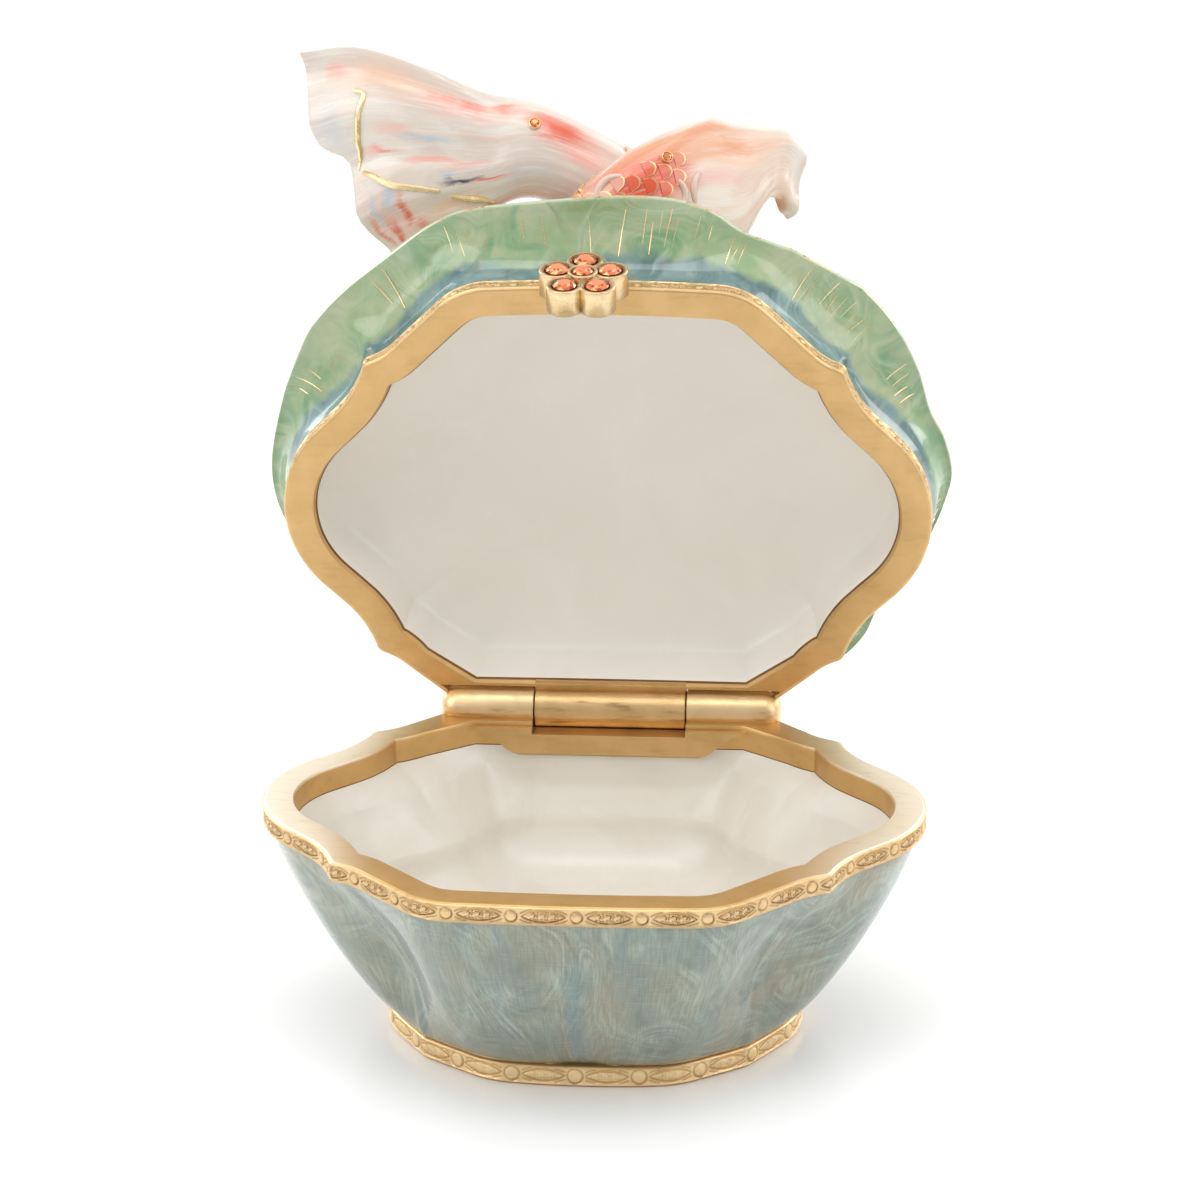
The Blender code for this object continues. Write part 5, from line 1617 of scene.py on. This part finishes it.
def scale_mesh():
    """One closed scale of unit half width, its free edge gilt."""
    across = np.array((-1.0, -0.86, -0.45, 0.0, 0.45, 0.86, 1.0))
    along = np.array((0.0, 0.5, 0.84, 0.91, 1.0))
    u, v = np.meshgrid(across, along)
    x = -0.45 + 1.55 * v * np.sqrt(1.0 - 0.72 * u ** 2)
    z = 0.02 + 0.14 * v + 0.10 * (1.0 - u ** 2)
    top = np.stack([x, u * (1.02 - 0.12 * v), z], axis=-1).reshape(-1, 3)
    gilt = ((np.abs(u) > 0.9) | (v > 0.9)).astype(float).ravel()
    wide, deep = len(across), len(along)
    border = list(range(wide)) + [r * wide + wide - 1 for r in range(1, deep)]
    border += [deep * wide - 2 - k for k in range(wide - 1)]
    border += [r * wide for r in range(deep - 2, 0, -1)]
    under = top[border] * (0.97, 0.97, 0.0) - (0.0, 0.0, 0.35)
    faces = [(r * wide + c, r * wide + c + 1, (r + 1) * wide + c + 1, (r + 1) * wide + c)
             for r in range(deep - 1) for c in range(wide - 1)]
    low = deep * wide
    for k, corner in enumerate(border):
        j = (k + 1) % len(border)
        faces.append((corner, low + k, low + j, border[j]))
    faces.append(tuple(low + k for k in range(len(border)))[::-1])
    mesh = closed_mesh("scale", np.vstack([top, under]), faces, [0] * len(faces))
    values = np.concatenate([gilt, gilt[border]])
    mesh.attributes.new("gilt", "FLOAT", "POINT").data.foreach_set("value", values)
    return mesh


def scale_places(skin_and_places, wanted):
    """Staggered rows of places (along, down, side) where wanted(along, down) is true."""
    rows = skin_and_places[0][NOSE_RINGS:-TAIL_END_RINGS]
    middles = rows.mean(axis=1)
    travelled = np.concatenate([[0.0], np.cumsum(np.linalg.norm(np.diff(middles, axis=0),
                                                                axis=1))])
    places = []
    for number, distance in enumerate(np.arange(travelled[-1] * 0.1, travelled[-1], SCALE_STEP)):
        along = np.interp(distance, travelled, np.linspace(0.0, 1.0, KOI_LEVELS))
        row = rows[round(along * (KOI_LEVELS - 1))][:KOI_SIDES // 2]
        arc_length = np.concatenate([[0.0], np.cumsum(np.linalg.norm(np.diff(row, axis=0),
                                                                     axis=1))])
        start = SCALE_WIDTH * (FIRST_SCALE + (0.0 if number % 2 else 0.5))
        for arc_at in np.arange(start, arc_length[-1], SCALE_WIDTH * SCALE_OVERLAP):
            turn = np.interp(arc_at, arc_length, KOI_TURN[:KOI_SIDES // 2])
            down = (1.0 - math.cos(turn)) / 2.0
            if wanted(along, down):
                places += [(along, down, side) for side in (-1.0, 1.0)]
    return np.array(places)


def scales(name, skin_and_places, wanted, material, slot):
    spots = scale_places(skin_and_places, wanted)
    sizes = 0.5 * SCALE_WIDTH * np.interp(spots[:, 0], (0.1, 0.2, 0.55, 0.7), (0.8, 1, 1, 0.8))
    settings(name, scale_mesh(), on_koi(skin_and_places[0], *spots.T), sizes, material, slot,
             spots)
    print(name, "count:", len(spots))


scales("koi_white_scales", white_skin, lambda along, down: 0.15 < along < 0.56 and down < 0.8,
       white_koi, "koi_white_enamel")
scales("koi_orange_scales", orange_skin,
       lambda along, down: (0.15 < along < 0.57 and down < 0.8)
       or (along < 0.69 and 0.24 < down < 0.52), orange_koi, "koi_orange_enamel")

# %% [markdown]
# ## The flower catch
#
# Six round settings stand together, five petals about a middle one, and the thumb lifts the
# lid by them.  Each is a short barrel turned about its axis, with a thin rim round a seat
# for the stone and dark polish left in the seat.  Turning is how a jeweller makes them too.
# A short stem behind the top petal holds the flower to the lid, clear of the bowl's rim.

# %% Flower
FLOWER_X = -1.55
FLOWER_Z = -2.7
FLOWER_BACK = -27.6
FLOWER_FACE = -30.5
PETALS = 5
PETAL_RING_WIDE = 2.9
PETAL_RING_HIGH = 3.25
PETAL_R = 1.93
CENTRE_RISE = 0.35
CENTRE_R = 1.58
CRYSTAL_R = 1.24
CENTRE_CRYSTAL_R = 1.06
CRYSTAL_SINK = 0.8
SETTING_SIDES = 48
STEM_R = 0.75
STEM_Z = 1.15
STEM_REACH = 0.6
STEM_OVERLAP = 0.5
STEM_SIDES = 16


def flower_places():
    """Centre and front face of each setting: the middle one first, then the petals."""
    places = [(FLOWER_X, FLOWER_Z, FLOWER_FACE - CENTRE_RISE)]
    for k in range(PETALS):
        a = math.pi / 2.0 + 2.0 * math.pi * k / PETALS
        places.append((FLOWER_X + PETAL_RING_WIDE * math.cos(a),
                       FLOWER_Z + PETAL_RING_HIGH * math.sin(a), FLOWER_FACE))
    return places


def barrel(x, z, face, radius, stone):
    """One setting and how dark its polish is; stations are distance along Y, radius, polish."""
    stations = ((FLOWER_BACK, radius - 0.15, 0.2), (FLOWER_BACK - 0.15, radius, 0.2),
                (face + 0.6, radius, 0.0), (face + 0.12, radius, 0.05),
                (face + 0.03, radius - 0.04, 0.1), (face, radius - 0.12, 0.15),
                (face, radius - 0.26, 0.4), (face + 0.05, radius - 0.34, 0.9),
                (face + 0.12, stone + 0.14, 1.0), (face + 0.4, stone + 0.06, 1.0),
                (face + CRYSTAL_SINK + 0.1, stone - 0.1, 1.0))
    body = turned([s[:2] for s in stations],
                  lambda along, a, b: (x + a, along, z + b), SETTING_SIDES)
    return body, np.repeat([s[2] for s in stations], SETTING_SIDES)


def flower_mesh():
    bodies, grooves = [], []
    for k, (x, z, face) in enumerate(flower_places()):
        sizes = (PETAL_R, CRYSTAL_R) if k else (CENTRE_R, CENTRE_CRYSTAL_R)
        body, dark = barrel(x, z, face, *sizes)
        bodies.append(swung(body))
        grooves.append(dark)
    ends = ((FLOWER_BACK + STEM_REACH, STEM_R), (FLOWER_BACK - STEM_OVERLAP, STEM_R))
    bodies.append(swung(turned(
        ends, lambda along, a, b: (FLOWER_X + a, along, STEM_Z + b), STEM_SIDES)))
    grooves.append(np.zeros(2 * STEM_SIDES))
    mesh = join_bodies("thumb_flower", bodies)
    mesh.attributes.new("groove", "FLOAT", "POINT").data.foreach_set(
        "value", np.concatenate(grooves))
    return mesh


setting_gold = gold_plating("setting_gold", (0.88, 0.71, 0.44), (0.72, 0.54, 0.29), 0.30,
                            stain=0.3)
flower = finished("thumb_flower", flower_mesh(), [setting_gold], 50.0)
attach(flower, "lid")
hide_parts("thumb_flower")
print("flower faces:", len(flower.data.polygons))

# %% [markdown]
# ## Stones
#
# The stones are round and faceted, with a table and two rows of crown facets.  They are
# backed with foil, so each facet throws back its own share of the light: every facet keeps a
# value of its own, and the material paints it as a lighter or deeper orange, and the highest
# values as a pale orange painted glint.  Real refraction would need many more light paths
# and shows little at this size.

# %% Stones
FACETS = 12
# Share of the radius, distance in front of the setting's face, turn of the facets
CRYSTAL_PROFILE = ((0.8, -CRYSTAL_SINK, 0.0), (1.0, -0.12, 0.0), (1.0, -0.05, 0.0),
                   (0.80, 0.17, 0.5), (0.54, 0.32, 0.0))


def foil_backed(name, light, deep):
    material, tree, shader = new_material(name, Roughness=0.12, Metallic=0.7, Coat_Weight=0.35,
                                          Coat_Roughness=0.02)
    glint = attribute(tree, "glint", "Fac")
    flecks = vary(tree, object_place(tree), 2.6, 2.0, 0.6)
    share = calc(tree, "MULTIPLY_ADD", flecks, 0.7, calc(tree, "ADD", glint, -0.35))
    colour = blend(tree, ramp(tree, share, 0.1, 0.6), deep, light)
    # Painted glint: facets with the highest values are painted pale orange.
    colour = blend(tree, ramp(tree, glint, 0.82, 0.95), colour, (1.0, 0.60, 0.36))
    paint(tree, shader, Base_Color=colour)
    return material


def stone_mesh(profile, radius, place):
    """Flat-faced round stone: rings of corners joined by triangles and a flat table."""
    rings = []
    for share, ahead, turn in profile:
        angles = 2.0 * math.pi * (np.arange(FACETS) + turn) / FACETS
        rings.append([place(radius * share * math.cos(a), radius * share * math.sin(a), ahead)
                      for a in angles])
    faces = [tuple(range(FACETS))]
    for row in range(len(rings) - 1):
        low, high, shift = row * FACETS, (row + 1) * FACETS, profile[row + 1][2] - profile[row][2]
        for i in range(FACETS):
            j = (i + 1) % FACETS
            if shift > 0.0:
                faces += [(low + i, low + j, high + i), (low + j, high + j, high + i)]
            elif shift < 0.0:
                faces += [(low + i, high + j, high + i), (low + i, low + j, high + j)]
            else:
                faces.append((low + i, low + j, high + j, high + i))
    faces.append(tuple((len(rings) - 1) * FACETS + i for i in range(FACETS)))
    return [p for ring in rings for p in ring], faces


def store_glints(mesh, seed):
    values = np.random.default_rng(seed).random(len(mesh.polygons))
    mesh.attributes.new("glint", "FLOAT", "FACE").data.foreach_set("value", values)


orange_stone = foil_backed("orange_crystal", (0.90, 0.29, 0.11), (0.42, 0.05, 0.015))
for number, (x, z, face) in enumerate(flower_places(), 1):
    body = stone_mesh(CRYSTAL_PROFILE, CRYSTAL_R if number > 1 else CENTRE_CRYSTAL_R,
                      lambda a, b, ahead: (x + a, face - ahead, z + b))
    mesh = join_bodies(f"crystal_{number}", [swung(body)])
    store_glints(mesh, number)
    crystal = finished(f"crystal_{number}", mesh, [orange_stone])
    mesh.shade_flat()
    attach(crystal, "lid")
    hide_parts(f"crystal_{number}")

# %% Small stones on the koi
SMALL_R = 0.6
SMALL_SIZE = 0.8
SMALL_LIFT = 0.12
SMALL_SEED = 3
SMALL_PROFILE = ((0.8, -0.6, 0.0), (1.0, 0.12, 0.0), (1.0, 0.18, 0.0), (0.78, 0.42, 0.5),
                 (0.5, 0.55, 0.0))
BEZEL = ((-0.45, 0.6), (-0.3, 0.82), (0.1, 0.84), (0.3, 0.78), (0.34, 0.7), (0.26, 0.62),
         (0.1, 0.6))


def upright(along, a, b):
    return (a, b, along)


def bezel_mesh(name):
    return join_bodies(name, [turned(BEZEL, upright, 20)])


def small_stone_mesh(name):
    mesh = join_bodies(name, [stone_mesh(SMALL_PROFILE, SMALL_R, lambda *place: place)])
    store_glints(mesh, SMALL_SEED)
    mesh.shade_flat()
    return mesh


# Places (along, down, side): a row on each side of the back, and one by the tail
BACK_SPOTS = [(along, 0.1, side) for side in (-1.0, 1.0) for along in (0.3, 0.37, 0.44, 0.51)]
for koi_name, koi_surface, tail_spot in (("koi_white", white_skin, (0.651, 0.29, -1.0)),
                                         ("koi_orange", orange_skin, (0.675, 0.235, 1.0))):
    spots = BACK_SPOTS + [tail_spot]
    where = on_koi(koi_surface[0], *np.array(spots).T, lift=SMALL_LIFT)
    sizes = np.full(len(spots), SMALL_SIZE)
    settings(koi_name + "_bezels", bezel_mesh("bezel"), where, sizes, pale_gold, "gold_plate")
    settings(koi_name + "_stones", small_stone_mesh("small_stone"), where, sizes, orange_stone,
             "orange_crystal", smooth_angle=1.0)

# %% Eyes, gill lines, barbels and gold folds
EYE = ((-0.5, 0.5), (0.0, 0.62), (0.2, 0.58), (0.38, 0.42), (0.48, 0.2))
EYE_RING = ((-0.4, 0.7), (-0.1, 0.86), (0.08, 0.86), (0.16, 0.76), (0.12, 0.66), (-0.05, 0.6))
EYE_SPOTS = [(0.05, 0.3, -1.0), (0.05, 0.3, 1.0)]
EYE_SIDES = 24
GILL_LINE = ((0.11, 0.12), (0.14, 0.3), (0.145, 0.55), (0.12, 0.8))
GILL_R = 0.2
BARBEL_STEPS = 16
BARBEL_R = np.linspace(0.3, 0.12, BARBEL_STEPS)
eye_black, _, _ = new_material("eye_enamel", Base_Color=(0.012, 0.012, 0.014, 1.0),
                               Roughness=0.12, Coat_Weight=1.0)


def along_koi(surface, stops, side, radius, lift=0.0, count=40):
    """Wire line over a koi through places (along, down), thin at both ends."""
    path = smooth_path(stops, count)
    points = on_koi(surface[0], path[:, 0], np.clip(path[:, 1], 0.0, 1.0), np.full(count, side),
                    lift=lift)[0]
    taper = np.sin(np.linspace(0.35, math.pi - 0.35, count)) ** 0.5
    return swing_open(points), radius * taper


for koi_name, surface, slot in (("koi_white", white_skin, "koi_white_enamel"),
                                ("koi_orange", orange_skin, "koi_orange_enamel")):
    where = on_koi(surface[0], *np.array(EYE_SPOTS).T)
    eye = join_bodies("eye", [turned(EYE, upright, EYE_SIDES)])
    settings(koi_name + "_eyes", eye, where, np.ones(2), eye_black, slot)
    ring = join_bodies("ring", [turned(EYE_RING, upright, EYE_SIDES)])
    settings(koi_name + "_eye_rings", ring, where, np.ones(2), pale_gold, "gold_plate")
    gills = [along_koi(surface, GILL_LINE, side, GILL_R) for side in (-1.0, 1.0)]
    wires(koi_name + "_gills", gills, pale_gold, "lid")
    nose = surface[0][0].mean(axis=0)
    barbels = []
    for side in (-1.0, 1.0):
        t = np.linspace(0.0, 1.0, BARBEL_STEPS)[:, None]
        line = nose + np.array((side * 0.9, -0.2, -0.8)) + t * (side * 2.2, 0.8, -0.6)
        line = line + t ** 2 * (side * 0.6, -2.4, -0.7)
        barbels.append((swing_open(line), BARBEL_R))
    wires(koi_name + "_barbels", barbels, pale_gold, "lid")

# Gold lines on the white koi's tail fold
folds = [
    along_koi(white_skin, ((0.92, 0.20), (0.905, 0.22), (0.915, 0.30), (0.931, 0.40),
                           (0.962, 0.48), (0.982, 0.545)), -1.0, 0.34, lift=0.06),
    along_koi(white_skin, ((0.972, 0.56), (0.945, 0.60), (0.905, 0.67), (0.87, 0.705),
                           (0.822, 0.755)), -1.0, 0.36, lift=0.04),
    along_koi(white_skin, ((0.80, 0.80), (0.77, 0.845), (0.74, 0.89), (0.715, 0.95)), -1.0, 0.42),
]
wires("tail_gold_folds", folds, pale_gold, "lid")

# Narrow pearl folds where the orange koi's tail leaves its body
curls = [
    along_koi(orange_skin, ((0.588, 0.36), (0.596, 0.22), (0.608, 0.18), (0.624, 0.24)), 1.0, 0.45),
    along_koi(orange_skin, ((0.688, 0.44), (0.696, 0.50), (0.70, 0.58), (0.695, 0.66)), 1.0, 0.4),
    along_koi(orange_skin, ((0.722, 0.40), (0.715, 0.46), (0.713, 0.53), (0.716, 0.62)), 1.0, 0.4),
]
wires("tail_pearl_curls", curls, orange_koi, "lid", sides=12)

# %% [markdown]
# ## Floor, light and camera
#
# A pale glossy floor, a bright even room and five large soft lamps, as on a product table:
# two in front, one above and two behind that light the edges.  The camera stands a little
# above the rim and slightly to the right of the flower, with a long lens so that the box
# isn't distorted.

# %% Stage
CAMERA_AIM = (0.33, 7.22, 44.8)
CAMERA_AZIMUTH = math.radians(4.73)
CAMERA_ELEVATION = math.radians(20.61)
CAMERA_ROLL = math.radians(0.56)
CAMERA_DISTANCE = 458.1
CAMERA_CLIP = 0.01
LENS = 130.2
SENSOR = 36.0
FLOOR_SIZE = 3.0


def make_floor():
    mesh = bpy.data.meshes.new("table_top")
    s = FLOOR_SIZE
    mesh.from_pydata([(-s, -s, 0), (s, -s, 0), (s, s, 0), (-s, s, 0)], [], [(0, 1, 2, 3)])
    material, tree, shader = new_material("table_top", Roughness=0.22)
    sheen = vary(tree, object_place(tree), 0.01, 2.0)
    paint(tree, shader, Base_Color=blend(tree, sheen, (0.93, 0.93, 0.93), (0.95, 0.95, 0.95)))
    floor = finished("table_top", mesh, [material])


def make_lamp(name, place, size, power, aim=(0.0, 0.0, 0.04)):
    lamp = bpy.data.lights.new(name, "AREA")
    lamp.shape, lamp.size, lamp.size_y, lamp.energy = "RECTANGLE", size[0], size[1], power
    obj = bpy.data.objects.new(name, lamp)
    obj.location = place
    obj.rotation_euler = (Vector(aim) - Vector(place)).to_track_quat("-Z", "Y").to_euler()
    bpy.context.scene.collection.objects.link(obj)


def make_camera():
    camera = bpy.data.objects.new("camera", bpy.data.cameras.new("camera"))
    camera.data.lens, camera.data.sensor_width = LENS, SENSOR
    camera.data.clip_start = CAMERA_CLIP
    level = math.cos(CAMERA_ELEVATION)
    back = Vector((math.sin(CAMERA_AZIMUTH) * level, -math.cos(CAMERA_AZIMUTH) * level,
                   math.sin(CAMERA_ELEVATION)))
    turn = (-back).to_track_quat("-Z", "Y").to_matrix() @ Matrix.Rotation(-CAMERA_ROLL, 3, "Z")
    camera.matrix_world = Matrix.Translation(
        (Vector(CAMERA_AIM) + back * CAMERA_DISTANCE) * MM) @ turn.to_4x4()
    bpy.context.scene.collection.objects.link(camera)
    bpy.context.scene.camera = camera
    print("camera at", [round(v, 4) for v in camera.matrix_world.translation])


def bright_room():
    """World that is white behind the box and dims behind the camera."""
    world = bpy.data.worlds.new("bright_room")
    bpy.context.scene.world = world
    world.use_nodes = True
    tree = world.node_tree
    way = add(tree, "ShaderNodeTexCoord").outputs["Generated"]
    level = add(tree, "ShaderNodeSeparateXYZ", {"Vector": way}).outputs["Y"]
    strength = ramp(tree, level, -0.5, 0.2, 0.62, 1.02)
    tree.links.new(strength, tree.nodes["Background"].inputs["Strength"])
    tree.nodes["Background"].inputs["Color"].default_value = (1.0, 1.0, 1.0, 1.0)


make_floor()
make_lamp("soft_left", (-0.45, -0.35, 0.45), (0.4, 0.5), 1.3)
make_lamp("soft_right", (0.5, -0.25, 0.4), (0.3, 0.5), 0.8)
make_lamp("soft_top", (0.0, -0.15, 0.7), (0.5, 0.3), 1.2)
make_lamp("back_left", (-0.5, 0.45, 0.3), (0.4, 0.4), 1.6)
make_lamp("back_right", (0.5, 0.45, 0.3), (0.4, 0.4), 1.4)
make_camera()
bright_room()
bpy.context.scene.view_settings.view_transform = "Standard"
